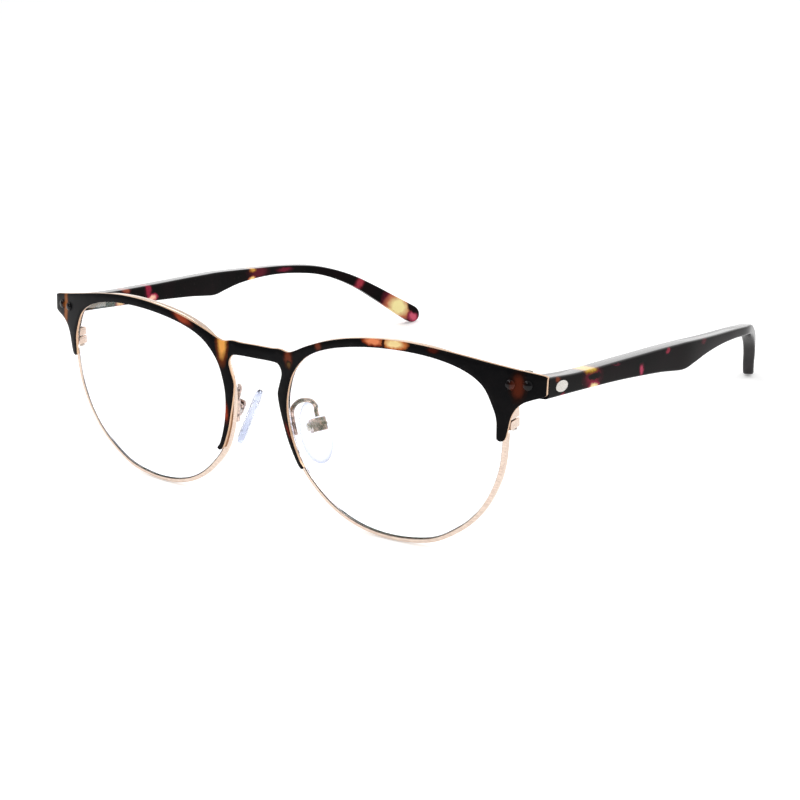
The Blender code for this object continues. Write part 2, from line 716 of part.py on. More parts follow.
def nose_pad():
    pad = rounded(pad_oval(PAD_WIDTH, PAD_LENGTH, PAD_THICKNESS, PAD_MIDDLE), 0.7, 2)
    pocket = pad_oval(*[size + 2 * INSERT_PLAY for size in PAD_INSERT], PAD_MIDDLE)
    pad = boolean(pad, "DIFFERENCE", pocket, pad_stem(INSERT_PLAY))
    return as_part(smooth(pad), "left_nose_pad", "silicone")


def pad_insert():
    plate = pad_oval(*PAD_INSERT, PAD_MIDDLE)
    eye = rod(pad_place(0.0, 0.0, 0.0), PAD_ACROSS, 1.0, 1.5, 20)
    insert = boolean(plate, "UNION", pad_stem(0.0), eye)
    bore = rod(pad_place(0.0, 0.0, 0.0), PAD_ACROSS, 0.45, 4.0, 20)
    return as_part(smooth(boolean(insert, "DIFFERENCE", bore)), "left_pad_insert", "clear_resin")


def pad_box():
    """The bent clip whose two ears hold the pad screw."""
    ear_thickness, half_gap = 0.6, 1.05
    clip = box(pad_place(0.0, 0.0, 1.55), (2 * (half_gap + ear_thickness), 3.0, 0.6), pad_turn())
    ears = []
    for direction in (1, -1):
        across = direction * (half_gap + ear_thickness / 2)
        ears.append(box(pad_place(0.0, across, 0.25), (ear_thickness, 3.0, 2.7), pad_turn()))
    clip = boolean(clip, "UNION", *ears)
    bore = rod(pad_place(0.0, 0.0, 0.0), PAD_ACROSS, 0.5, 8.0, 20)
    return as_part(smooth(boolean(clip, "DIFFERENCE", bore)), "left_pad_box", "rose_gold")


def pad_screw():
    shank = rod(pad_place(0.0, 0.0, 0.0), PAD_ACROSS, 0.38, 4.6, 20)
    head = rod(pad_place(0.0, -2.15, 0.0), PAD_ACROSS, 0.85, 0.5, 20, 0.95)
    slot = box(pad_place(0.0, -2.4, 0.0), (0.4, 2.4, 0.22), pad_turn())
    screw = boolean(boolean(head, "UNION", shank), "DIFFERENCE", slot)
    return as_part(smooth(screw), "left_pad_screw", "steel")


def pad_arm():
    """The bent wire from the rim to the pad box."""
    foot_clear = WIRE_DEPTH / 2 + GAP + 0.5
    foot = [(8.75, wire_depth(8.75, 19.2) + foot_clear, 19.2),
            (8.15, wire_depth(8.15, 22.4) + foot_clear, 22.4),
            (8.1, wire_depth(8.1, 25.0) + foot_clear + 0.1, 25.0)]
    bend = [(8.7, 6.9, 26.35), (9.7, 8.0, 26.6), (10.8, 9.0, 26.2), (11.4, 9.5, 25.0)]
    end = [tuple(pad_place(-2.9, 0.0, 1.4)), tuple(pad_place(-1.8, 0.0, 1.5))]
    path = evenly(flowing(foot + bend + end, 6), 20)
    return as_part(smooth(wire(path, 0.5)), "left_pad_arm", "rose_gold")


# ---------------------------------------------------------------- assembly

def both_sides(pieces):
    """Adds the wearer's right-hand copy of each left-hand piece."""
    made = []
    for piece in pieces:
        made.append((piece, mirrored(piece, piece.name.replace("left_", "right_", 1))))
    return made


def axis_empty(name, at, axis):
    """An empty on a joint's axis, whose Z axis is the joint's."""
    empty = bpy.data.objects.new(name, None)
    empty.empty_display_size = 0.01
    empty.rotation_mode = "QUATERNION"
    empty.rotation_quaternion = Vector(axis).to_track_quat("Z", "Y")
    empty.location = place(*at)
    PARTS.objects.link(empty)
    return empty


def hang_on(empty, pieces):
    bpy.context.view_layer.update()
    for piece in pieces:
        piece.parent = empty
        piece.matrix_parent_inverse = empty.matrix_world.inverted()


brow_plate()
front_pieces = [rim_wire(), lens(), *rim_lock(), pad_arm(), pad_box(), pad_screw(), hinge_front_leaf(),
                hinge_screw(), rivet(RIVETS_X[0], "left_inner_rivet"), rivet(RIVETS_X[1], "left_outer_rivet")]
both_sides(front_pieces)

badge = as_part(smooth(emblem(0.0)), "left_temple_emblem", "steel")
temple_pairs = both_sides([temple(), temple_core(), hinge_temple_leaf(), badge])
pad_pairs = both_sides([nose_pad(), pad_insert()])
for index, (side_name, side) in enumerate((("left", 1), ("right", -1))):
    hinge = axis_empty(f"{side_name}_hinge_axis", (side * HINGE_X, HINGE_Y, HINGE_Z), (0, 0, 1))
    hang_on(hinge, [pair[index] for pair in temple_pairs])
    screw_at = (side * PAD_SCREW.x, PAD_SCREW.y, PAD_SCREW.z)
    rock = axis_empty(f"{side_name}_pad_axis", screw_at, (side * PAD_ACROSS.x, PAD_ACROSS.y, PAD_ACROSS.z))
    hang_on(rock, [pair[index] for pair in pad_pairs])
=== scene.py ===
# Half rim eyeglasses standing open on a pale floor.
# +X is the wearer's left, the lenses face -Y and +Z is up. Sizes are in millimetres.
import json
import math

import bmesh
import bpy
from mathutils import Matrix, Vector
from mathutils.geometry import delaunay_2d_cdt


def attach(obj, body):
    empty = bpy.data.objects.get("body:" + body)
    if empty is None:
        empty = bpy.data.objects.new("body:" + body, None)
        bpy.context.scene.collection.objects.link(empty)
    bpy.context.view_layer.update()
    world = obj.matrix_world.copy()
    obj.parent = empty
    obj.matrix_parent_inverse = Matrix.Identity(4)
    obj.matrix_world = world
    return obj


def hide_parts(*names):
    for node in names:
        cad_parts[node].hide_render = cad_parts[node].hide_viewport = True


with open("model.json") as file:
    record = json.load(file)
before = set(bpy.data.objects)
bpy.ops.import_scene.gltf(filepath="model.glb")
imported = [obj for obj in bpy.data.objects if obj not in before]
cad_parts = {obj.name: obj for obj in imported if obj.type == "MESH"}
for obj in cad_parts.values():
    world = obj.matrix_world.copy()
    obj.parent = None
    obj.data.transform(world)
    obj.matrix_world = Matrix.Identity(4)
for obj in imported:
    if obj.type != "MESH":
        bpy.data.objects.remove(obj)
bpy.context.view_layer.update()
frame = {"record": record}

mm = 0.001
joints = {joint["name"]: joint for joint in frame["record"]["behaviour"]["joints"]}
hingeAt = Vector(joints["left_hinge"]["pos_m"]) / mm
padAt = Vector(joints["left_pad_rock"]["pos_m"]) / mm
padAcross = Vector(joints["left_pad_rock"]["axis"]).normalized()
backShift = hingeAt.y - 11.2      # depths below are counted from the face of the bridge
unturned = Matrix.Identity(3)


# ---- small tools

def at(x, y, z):
    return Vector((x, y + backShift, z)) * mm


def linear(hexColour):
    # sRGB hex to linear colour
    parts = [int(hexColour[i:i + 2], 16) / 255 for i in (1, 3, 5)]
    return (*[c / 12.92 if c <= 0.04045 else ((c + 0.055) / 1.055) ** 2.4 for c in parts], 1.0)


def feed(node, values):
    # sets a node's inputs, each from a node's first output, a socket or a plain value
    for key, value in values.items():
        source = value.outputs[0] if isinstance(value, bpy.types.Node) else value
        if isinstance(source, bpy.types.NodeSocket):
            node.id_data.links.new(source, node.inputs[key])
        else:
            node.inputs[key].default_value = source
    return node


def nodeMaker(tree):
    # a function that adds nodes to this tree, from their inputs and their own settings
    def add(kind, values=None, **settings):
        node = tree.nodes.new(kind)
        for key, value in settings.items():
            setattr(node, key, value)
        return feed(node, values or {})

    return add


def addMath(add, operation, *values):
    return add("ShaderNodeMath", dict(enumerate(values)), operation=operation)


def addRange(add, value, low, high, start=0.0, end=1.0):
    # stretches start..end to low..high
    return add("ShaderNodeMapRange", {
        "Value": value, "From Min": start, "From Max": end, "To Min": low, "To Max": high})


def newObject(name, data):
    obj = bpy.data.objects.new(name, data)
    bpy.context.scene.collection.objects.link(obj)
    return obj


def flowing(points, steps, closed=False):
    # Catmull-Rom curve through the points
    count = len(points)
    made = []
    for i in range(count if closed else count - 1):
        near = [(i + k) % count if closed else min(max(i + k, 0), count - 1) for k in (-1, 0, 1, 2)]
        before, start, end, after = [Vector(points[k]) for k in near]
        for step in range(steps):
            t = step / steps
            made.append(0.5 * (2 * start + (end - before) * t
                               + (2 * before - 5 * start + 4 * end - after) * t * t
                               + (3 * start - before - 3 * end + after) * t ** 3))
    if not closed:
        made.append(Vector(points[-1]))
    return made


def evenly(points, step, start=0.0, endGap=0.0):
    # points about a step apart along a line of points
    lengths = [0.0]
    for a, b in zip(points, points[1:]):
        lengths.append(lengths[-1] + (b - a).length)
    end = lengths[-1] - endGap
    count = max(2, round((end - start) / step) + 1)
    made, k = [], 0
    for i in range(count):
        target = start + (end - start) * i / (count - 1)
        while k < len(points) - 2 and lengths[k + 1] < target:
            k += 1
        span = max(lengths[k + 1] - lengths[k], 1e-9)
        made.append(points[k].lerp(points[k + 1], (target - lengths[k]) / span))
    return made


def inset(outline, distance):
    # moves a closed outline inwards, square to itself
    count = len(outline)
    area = sum(outline[i - 1].x * outline[i].y - outline[i].x * outline[i - 1].y for i in range(count))
    side = 1 if area > 0 else -1
    made = []
    for i, point in enumerate(outline):
        along = (outline[(i + 1) % count] - outline[i - 1]).normalized()
        made.append(point + Vector((-along.y, along.x)) * side * distance)
    return made


def isInside(outline, x, z):
    hit = False
    for a, b in zip(outline, outline[1:] + outline[:1]):
        if (a.y > z) != (b.y > z) and x < (b.x - a.x) * (z - a.y) / (b.y - a.y) + a.x:
            hit = not hit
    return hit


def roundedRect(width, height, corner, steps=5):
    points = []
    for quarter, (sx, sy) in enumerate(((1, 1), (-1, 1), (-1, -1), (1, -1))):
        for step in range(steps + 1):
            turn = math.radians(90 * (quarter + step / steps))
            points.append(Vector((sx * (width / 2 - corner) + corner * math.cos(turn),
                                  sy * (height / 2 - corner) + corner * math.sin(turn))))
    return points


def oval(width, height, steps=64):
    turns = [2 * math.pi * i / steps for i in range(steps)]
    return [Vector((width / 2 * math.cos(turn), height / 2 * math.sin(turn))) for turn in turns]


def axes(right, up):
    # turn whose X and Z axes point as given
    z = Vector(up).normalized()
    x = (Vector(right) - Vector(right).dot(z) * z).normalized()
    return Matrix((x, z.cross(x), z)).transposed()


def toMesh(shell):
    bmesh.ops.remove_doubles(shell, verts=shell.verts, dist=0.002 * mm)
    bmesh.ops.recalc_face_normals(shell, faces=shell.faces)
    mesh = bpy.data.meshes.new("shape")
    shell.to_mesh(mesh)
    shell.free()
    return mesh


def settled(obj):
    # the evaluated mesh of a passing object, which then goes
    bpy.context.view_layer.update()
    mesh = bpy.data.meshes.new_from_object(obj.evaluated_get(bpy.context.evaluated_depsgraph_get()))
    bpy.data.objects.remove(obj)
    return mesh


def combined(mesh, operation, *tools):
    # unites, cuts or intersects meshes
    obj = newObject(mesh.name, mesh)
    others = [newObject(tool.name, tool) for tool in tools]
    for other in others:
        step = obj.modifiers.new("combine", "BOOLEAN")
        step.operation = operation
        step.object = other
    made = settled(obj)
    for other in others:
        bpy.data.objects.remove(other)
    return made


def mirrorOf(mesh):
    copy = mesh.copy()
    copy.transform(Matrix.Scale(-1, 4, (1, 0, 0)))
    copy.flip_normals()
    return copy


def addPiece(name, mesh, body, nodes, finishes, sharpAngle=40):
    # puts a finished mesh in the scene in place of its CAD nodes
    mesh.name = name
    colours = [face.material_index for face in mesh.polygons]
    mesh.materials.clear()
    for finish in finishes:
        mesh.materials.append(finish)
    if len(finishes) > 1:
        mesh.polygons.foreach_set("material_index", colours)
    mesh.shade_smooth()
    mesh.set_sharp_from_angle(angle=math.radians(sharpAngle))
    piece = newObject(name, mesh)
    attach(piece, body)
    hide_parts(*nodes)


def addPair(name, mesh, body, node, finishes, sharpAngle=40):
    # the wearer's left piece and its mirror image; "left" in a word becomes "right"
    for side in ("left", "right"):
        shape = mesh.copy() if side == "left" else mirrorOf(mesh)
        addPiece(f"{side}{name}", shape, body.replace("left", side), [f"{side}_{node}"],
                 finishes[side] if isinstance(finishes, dict) else finishes, sharpAngle)


# ---- shapes that several pieces share

def joinRings(shell, rings, colours=None, capped=False):
    # faces between neighbouring rings of corners, where a ring of one corner is a tip
    for k, (a, b) in enumerate(zip(rings, rings[1:])):
        sides = max(len(a), len(b))
        for i in range(sides):
            j = (i + 1) % sides
            corners = (a[i % len(a)], a[j % len(a)], b[j % len(b)], b[i % len(b)])
            face = shell.faces.new(list(dict.fromkeys(corners)))
            face.material_index = colours[k] if colours else 0
    if capped:
        shell.faces.new(rings[0][::-1])
        shell.faces.new(rings[-1])


def softRims(edge, low, high):
    # (inset, height) of the rings of a plate with rounded rims
    return [(edge, low), (0.3 * edge, low + 0.3 * edge), (0.0, low + edge),
            (0.0, high - edge), (0.3 * edge, high - 0.3 * edge), (edge, high)]


def addRing(shell, points, height, turn, origin):
    return [shell.verts.new(at(*(Vector(origin) + turn @ Vector((*p, height))))) for p in points]


def slab(outline, low, high, edge, turn, origin):
    # a flat plate with rounded rims: an outline on the turn's X and Y axes, thick along its Z
    shell = bmesh.new()
    loops = [addRing(shell, inset(outline, distance) if distance else outline, height, turn, origin)
             for distance, height in softRims(edge, low, high)]
    joinRings(shell, loops, capped=True)
    return toMesh(shell)


def turned(profile, axis, origin, sides=32):
    # a turned shape: (radius, height) points from one end of the axis to the other
    turn = Vector(axis).to_track_quat("Z", "Y").to_matrix()
    shell = bmesh.new()
    loops = []
    for radius, height in profile:
        ring = oval(2 * radius, 2 * radius, sides) if radius else [Vector((0, 0))]
        loops.append(addRing(shell, ring, height, turn, origin))
    joinRings(shell, loops)
    return toMesh(shell)


def rod(radius, half, axis, origin, sides=32):
    # a plain round bar to bore with
    return turned([(0, -half), (radius, -half), (radius, half), (0, half)], axis, origin, sides)


def barrel(radius, bore, length, edge, axis, origin):
    # a hinge knuckle: a short tube with rounded ends
    half = length / 2
    outer = [(0, -half), *[(radius - cut, height) for cut, height in softRims(edge, -half, half)], (0, half)]
    return combined(turned(outer, axis, origin), "DIFFERENCE", rod(bore, length, axis, origin))


def frontDepth(x, z):
    # how far back the curved face of the front lies
    x = abs(x)
    bulge, bridgeHalf, (middleX, middleZ) = 125.0, 12.0, (27.0, 26.0)
    if x < bridgeHalf:
        beyond = middleX - bridgeHalf
        across = beyond ** 2 + beyond / bridgeHalf * (bridgeHalf ** 2 - x * x)
    else:
        across = (x - middleX) ** 2
    return (across + (z - middleZ) ** 2) / (2 * bulge) + 0.028 * z


def onFront(x, z):
    return Vector((x, frontDepth(x, z), z))


def squareToFront(x, z):
    # points back, square to the curved face
    step = 0.1
    slopeX = (frontDepth(x + step, z) - frontDepth(x - step, z)) / (2 * step)
    slopeZ = (frontDepth(x, z + step) - frontDepth(x, z - step)) / (2 * step)
    return Vector((-slopeX, 1.0, -slopeZ)).normalized()


def curvedSheet(outline, rings, spacing):
    # a sheet on the curved face; rings are (inset, depth behind the face, colour number)
    shell = bmesh.new()

    def put(x, z, depth):
        return shell.verts.new(at(x, frontDepth(x, z) + depth / squareToFront(x, z).y, z))

    flats = [inset(outline, distance) if distance else outline for distance, _, _ in rings]
    loops = [[put(p.x, p.y, depth) for p in flat] for flat, (_, depth, _) in zip(flats, rings)]
    joinRings(shell, loops, [colour for _, _, colour in rings])
    low = Vector((min(p.x for p in outline), min(p.y for p in outline)))
    high = Vector((max(p.x for p in outline), max(p.y for p in outline)))
    for end in (0, -1):
        flat, (_, depth, colour), loop = flats[end], rings[end], loops[end]
        inner = inset(flat, spacing * 0.6)
        rowHeight = spacing * math.sqrt(3) / 2
        filling = []
        for row in range(int((high.y - low.y) / rowHeight) + 1):
            for column in range(int((high.x - low.x) / spacing) + 1):
                x = low.x + (column + 0.5 * (row % 2)) * spacing
                z = low.y + row * rowHeight
                if isInside(inner, x, z):
                    filling.append(Vector((x, z)))
        _, _, faces, origins, _, _ = delaunay_2d_cdt(flat + filling, [], [list(range(len(flat)))], 1, 1e-7)
        verts = loop + [put(p.x, p.y, depth) for p in filling]
        for face in faces:
            corners = [verts[origins[i][0]] for i in face]
            shell.faces.new(corners).material_index = colour
    return toMesh(shell)


# ---- Geometry Nodes trees

def newTree(name, *inputs):
    # a tree with a finish and named inputs: (name, socket kind, default)
    tree = bpy.data.node_groups.new(name, "GeometryNodeTree")
    tree.interface.new_socket("Geometry", in_out="INPUT", socket_type="NodeSocketGeometry")
    sockets = {}
    for label, kind, default in (*inputs, ("Finish", "Material", None)):
        socket = tree.interface.new_socket(label, in_out="INPUT", socket_type=f"NodeSocket{kind}")
        if default is not None:
            socket.default_value = default
        sockets[label] = socket.identifier
    tree.interface.new_socket("Geometry", in_out="OUTPUT", socket_type="NodeSocketGeometry")
    add = nodeMaker(tree)
    return (tree, sockets), add, add("NodeGroupInput").outputs


def endTree(tree, add, given, shape):
    whole = add("GeometryNodeRealizeInstances", {"Geometry": shape})
    painted = add("GeometryNodeSetMaterial", {"Geometry": whole, "Material": given["Finish"]})
    add("NodeGroupOutput", {"Geometry": painted})
    return tree


def sweep(add, path, profile):
    return add("GeometryNodeCurveToMesh", {"Curve": path, "Profile Curve": profile, "Fill Caps": True})


def makeRimTree():
    # sweeps a rounded bar with a lens groove along a path laid flat, then stands it up
    tree, add, given = newTree(
        "rim wire", ("Width", "Float", 1.1 * mm), ("Depth", "Float", 1.4 * mm), ("Corner", "Float", 0.3 * mm),
        ("Groove", "Float", 0.3 * mm))
    line = add("GeometryNodeMeshToCurve", {"Mesh": given["Geometry"]})
    upright = add("GeometryNodeSetCurveNormal", {"Curve": line}, mode="Z_UP")
    bar = add("GeometryNodeCurvePrimitiveQuadrilateral", {
        "Width": given["Width"], "Height": given["Depth"]})
    soft = add("GeometryNodeFilletCurve", {
        "Curve": bar, "Count": 4, "Radius": given["Corner"]}, mode="POLY")
    fine = add("GeometryNodeSubdivideCurve", {"Curve": soft, "Cuts": 3})
    split = add("ShaderNodeSeparateXYZ", {"Vector": add("GeometryNodeInputPosition")})
    share = addMath(add, "DIVIDE", addMath(add, "ABSOLUTE", split.outputs["Y"]), 0.6 * mm)
    vee = add("ShaderNodeMath", {0: 1.0, 1: share}, operation="SUBTRACT", use_clamp=True)
    deep = addMath(add, "MULTIPLY", vee, given["Groove"])
    inner = addMath(add, "LESS_THAN", split.outputs["X"], 0.0)
    side = addMath(add, "MULTIPLY", deep, inner)
    grooved = add("GeometryNodeSetPosition", {
        "Geometry": fine, "Offset": add("ShaderNodeCombineXYZ", {"X": side})})
    stood = add("GeometryNodeTransform", {
        "Geometry": sweep(add, upright, grooved), "Rotation": (math.radians(90), 0, 0)})
    return endTree(tree, add, given, stood)


def makeWireTree():
    # sweeps a round wire along a path
    tree, add, given = newTree("bent wire", ("Radius", "Float", 0.5 * mm))
    line = add("GeometryNodeMeshToCurve", {"Mesh": given["Geometry"]})
    ring = add("GeometryNodeCurvePrimitiveCircle", {"Resolution": 20, "Radius": given["Radius"]})
    return endTree(tree, add, given, sweep(add, line, ring))


def makeFastenerTree():
    # sets one fastener at each point, turned to the point's own axis
    tree, add, given = newTree("fasteners", ("Shape", "Object", None), ("Size", "Float", 1.0))
    shape = add("GeometryNodeObjectInfo", {"Object": given["Shape"]})
    axis = add("GeometryNodeInputNamedAttribute", {"Name": "axis"}, data_type="FLOAT_VECTOR")
    turn = add("FunctionNodeAlignRotationToVector", {"Vector": axis}, axis="Z")
    sown = add("GeometryNodeInstanceOnPoints", {
        "Points": given["Geometry"], "Instance": shape.outputs["Geometry"], "Rotation": turn,
        "Scale": given["Size"]})
    return endTree(tree, add, given, sown)


def makeCoreTree():
    # the wire inside a temple, with ribs along its anchor
    tree, add, given = newTree(
        "temple core", ("Radius", "Float", 0.4 * mm), ("Ribs", "Int", 9), ("Anchor End", "Float", 16.0 * mm),
        ("Anchor Start", "Float", 7.0 * mm), ("Rib Size", "Vector", (1.0 * mm, 0.5 * mm, 2.2 * mm)))
    line = add("GeometryNodeMeshToCurve", {"Mesh": given["Geometry"]})
    upright = add("GeometryNodeSetCurveNormal", {"Curve": line}, mode="Z_UP")
    ring = add("GeometryNodeCurvePrimitiveCircle", {"Resolution": 16, "Radius": given["Radius"]})
    swept = sweep(add, upright, ring)
    part = add("GeometryNodeTrimCurve", {
        "Curve": upright, "Start": given["Anchor Start"], "End": given["Anchor End"]}, mode="LENGTH")
    rib = add("GeometryNodeMeshCube", {"Size": given["Rib Size"]})
    kept = add("GeometryNodeCaptureAttribute", {"Geometry": part})
    kept.capture_items.new("VECTOR", "Along")
    feed(kept, {"Along": add("GeometryNodeInputTangent")})
    stations = add("GeometryNodeCurveToPoints", {
        "Curve": kept.outputs["Geometry"], "Count": given["Ribs"]}, mode="COUNT")
    turn = add("FunctionNodeAlignRotationToVector", {"Vector": kept.outputs["Along"]}, axis="Y")
    sown = add("GeometryNodeInstanceOnPoints", {
        "Points": stations.outputs["Points"], "Instance": rib.outputs["Mesh"], "Rotation": turn})
    both = add("GeometryNodeJoinGeometry")
    feed(both, {0: swept})
    feed(both, {0: sown})
    return endTree(tree, add, given, both)


def runTree(treeAndSockets, mesh, values, finish):
    tree, sockets = treeAndSockets
    obj = newObject(mesh.name, mesh)
    step = obj.modifiers.new("shape", "NODES")
    step.node_group = tree
    for label, value in {**values, "Finish": finish}.items():
        step[sockets[label]] = value
    return settled(obj)


def pathMesh(points):
    mesh = bpy.data.meshes.new("path")
    mesh.from_pydata(points, [(i, i + 1) for i in range(len(points) - 1)], [])
    return mesh


def fasteners(shape, places, name, finish):
    # copies of a fastener, whose own axis is Z through the origin, at (place, axis) pairs
    shapeObject = newObject(shape.name, shape)
    points = bpy.data.meshes.new(name)
    points.from_pydata([at(*place) for place, _ in places], [], [])
    attribute = points.attributes.new("axis", "FLOAT_VECTOR", "POINT")
    for i, (_, axis) in enumerate(places):
        attribute.data[i].vector = axis
    made = runTree(fastenerTree, points, {"Shape": shapeObject, "Size": 1.0}, finish)
    bpy.data.objects.remove(shapeObject)
    return made


def atOrigin(mesh):
    # moves a shape made round the millimetre frame's origin to the world's
    mesh.transform(Matrix.Translation(-at(0, 0, 0)))
    return mesh


rimTree = makeRimTree()
wireTree = makeWireTree()
fastenerTree = makeFastenerTree()
coreTree = makeCoreTree()
print("trees ready")


# ---- finishes

pad = {
    "down": Vector((0.373, -0.185, -0.909)).normalized(),
    "middle": (1.32, 0.2, -3.0),                  # down, across and out from its screw
    "length": 14.4, "width": 7.6, "thickness": 2.0,
    "insert": (4.4, 8.4, 0.5),
}
padOut = pad["down"].cross(padAcross).normalized()
padTurn = Matrix((padAcross, pad["down"], -padOut)).transposed()
padScrewAt = Vector((padAt.x, padAt.y - backShift, padAt.z))


def padPlace(down, across, out):
    return padScrewAt + pad["down"] * down + padAcross * across + padOut * out


def newFinish(name):
    finish = bpy.data.materials.new(name)
    finish.use_nodes = True
    finish.node_tree.nodes.clear()
    add = nodeMaker(finish.node_tree)
    shader = add("ShaderNodeBsdfPrincipled")
    end = add("ShaderNodeOutputMaterial", {"Surface": shader})
    return finish, add, shader, end, add("ShaderNodeTexCoord").outputs["Object"]


def addNoise(add, place, size, detail=2.0, stretch=(1, 1, 1)):
    # size is the width of one blotch in millimetres
    scaled = add("ShaderNodeMapping", {"Vector": place, "Scale": [1 / (size * mm * s) for s in stretch]})
    return add("ShaderNodeTexNoise", {"Vector": scaled, "Scale": 1.0, "Detail": detail})


def addBump(add, shader, height, strength, distance):
    bump = add("ShaderNodeBump", {"Height": height, "Strength": strength, "Distance": distance * mm})
    feed(shader, {"Normal": bump})


def addRamp(add, factor, stops):
    ramp = add("ShaderNodeValToRGB", {"Fac": factor})
    elements = ramp.color_ramp.elements
    while len(elements) < len(stops):
        elements.new(1.0)
    for element, (position, colour, *alpha) in zip(elements, stops):
        element.position = position
        element.color = (*linear(colour)[:3], *(alpha or [1.0]))
    return ramp


def addPatches(add, place, base, patches, plane, ragged):
    # blotches of colour. A patch is (first, second, half sizes, tilt, outer colour, inner colour), where
    # first and second are x and z on the front, or y and z on a temple
    cloud = addNoise(add, place, ragged, 3.0)
    centred = add("ShaderNodeVectorMath", {
        0: cloud.outputs["Color"], 1: (0.5, 0.5, 0.5)}, operation="SUBTRACT")
    pushed = add("ShaderNodeVectorMath", {0: centred, "Scale": ragged * 0.9 * mm}, operation="SCALE")
    warped = add("ShaderNodeVectorMath", {0: place, 1: pushed}, operation="ADD")
    colour = base
    for first, second, halfFirst, halfSecond, tilt, outer, inner in patches:
        if plane == "xz":
            middle, size = at(first, 0, second), (halfFirst * mm, 1.0, halfSecond * mm)
            middle.y, turn = 0.0, (0, math.radians(tilt), 0)
        else:
            middle, size = at(0, first, second), (1.0, halfFirst * mm, halfSecond * mm)
            turn = (math.radians(tilt), 0, 0)
        local = add("ShaderNodeMapping", {
            "Vector": warped, "Location": middle, "Rotation": turn, "Scale": size}, vector_type="TEXTURE")
        reach = add("ShaderNodeVectorMath", {0: local}, operation="LENGTH")
        ramp = addRamp(add, reach.outputs["Value"], [
            (0.0, inner), (0.35, inner), (0.72, outer), (1.0, outer, 0.0)])
        mix = add("ShaderNodeMix", {
            "Factor": ramp.outputs["Alpha"], 6: colour, 7: ramp.outputs["Color"]}, data_type="RGBA")
        colour = mix.outputs[2]
    return colour


def makeLacquer(name, roughness, gloss):
    # tortoise transfer print under satin lacquer on stamped metal: nearly black, with a few
    # amber and red-brown clouds, and reflections a little blurred
    finish, add, shader, _, place = newFinish(name)
    patches = [
        (-64.3, 38.6, 1.45, 6.8, 4, "#3a1c0d", "#96582a"),
        (-20.6, 42.7, 4.2, 1.4, 24, "#3c1610", "#9c4028"),
        (-9.3, 38.6, 2.0, 6.4, 0, "#5e2a0e", "#f2aa54"),
        (-9.0, 22.5, 1.0, 3.6, 0, "#3c140c", "#963418"),
        (9.7, 37.7, 1.7, 2.8, -5, "#30120b", "#6e321e"),
        (9.9, 36.3, 0.9, 1.1, 0, "#2c1a0c", "#5c4020"),
        (18.4, 41.7, 1.2, 1.4, 0, "#2e1710", "#6a3222"),
        (32.6, 44.7, 3.2, 1.2, 0, "#8a3418", "#f08e60"),
        (37.7, 44.7, 3.5, 1.4, 0, "#c8703a", "#ffe2a0"),
        (35.1, 44.6, 0.35, 1.6, 0, "#2a120c", "#3a1a10"),
        (46.4, 44.4, 1.8, 0.8, 0, "#220d0a", "#48170f"),
        (64.15, 38.6, 2.1, 3.9, 0, "#1c0c08", "#54200f"),
        (9.0, 21.1, 0.6, 2.8, -18, "#2a0d08", "#601c0f"),
    ]
    clouds = addNoise(add, place, 3.5, 4.0)
    base = addRamp(add, clouds, [(0.35, "#0b0b0d"), (0.75, "#131112")])
    colour = addPatches(add, place, base, patches, "xz", 0.9)
    film = addNoise(add, place, 0.35)       # lacquer orange peel, really about 0.1 mm
    rough = addRange(add, film, roughness * 0.8, roughness * 1.2)
    feed(shader, {"Base Color": colour, "Roughness": rough, "Specular IOR Level": gloss})
    addBump(add, shader, film, 0.12, 0.02)
    return finish


def makePlating(name, light, dark, roughness, grain, grainStrength):
    # plated alloy, polished or brushed: warm metal with fine tumbling or brushing marks
    finish, add, shader, _, place = newFinish(name)
    marks = addNoise(add, place, grain, 3.0, (6, 1, 1))
    shade = addRamp(add, marks, [(0.3, dark), (0.7, light)])
    rough = addRange(add, marks, roughness * 0.8, roughness * 1.25)
    feed(shader, {"Base Color": shade, "Roughness": rough, "Metallic": 1.0})
    addBump(add, shader, marks, grainStrength, 0.02)
    return finish


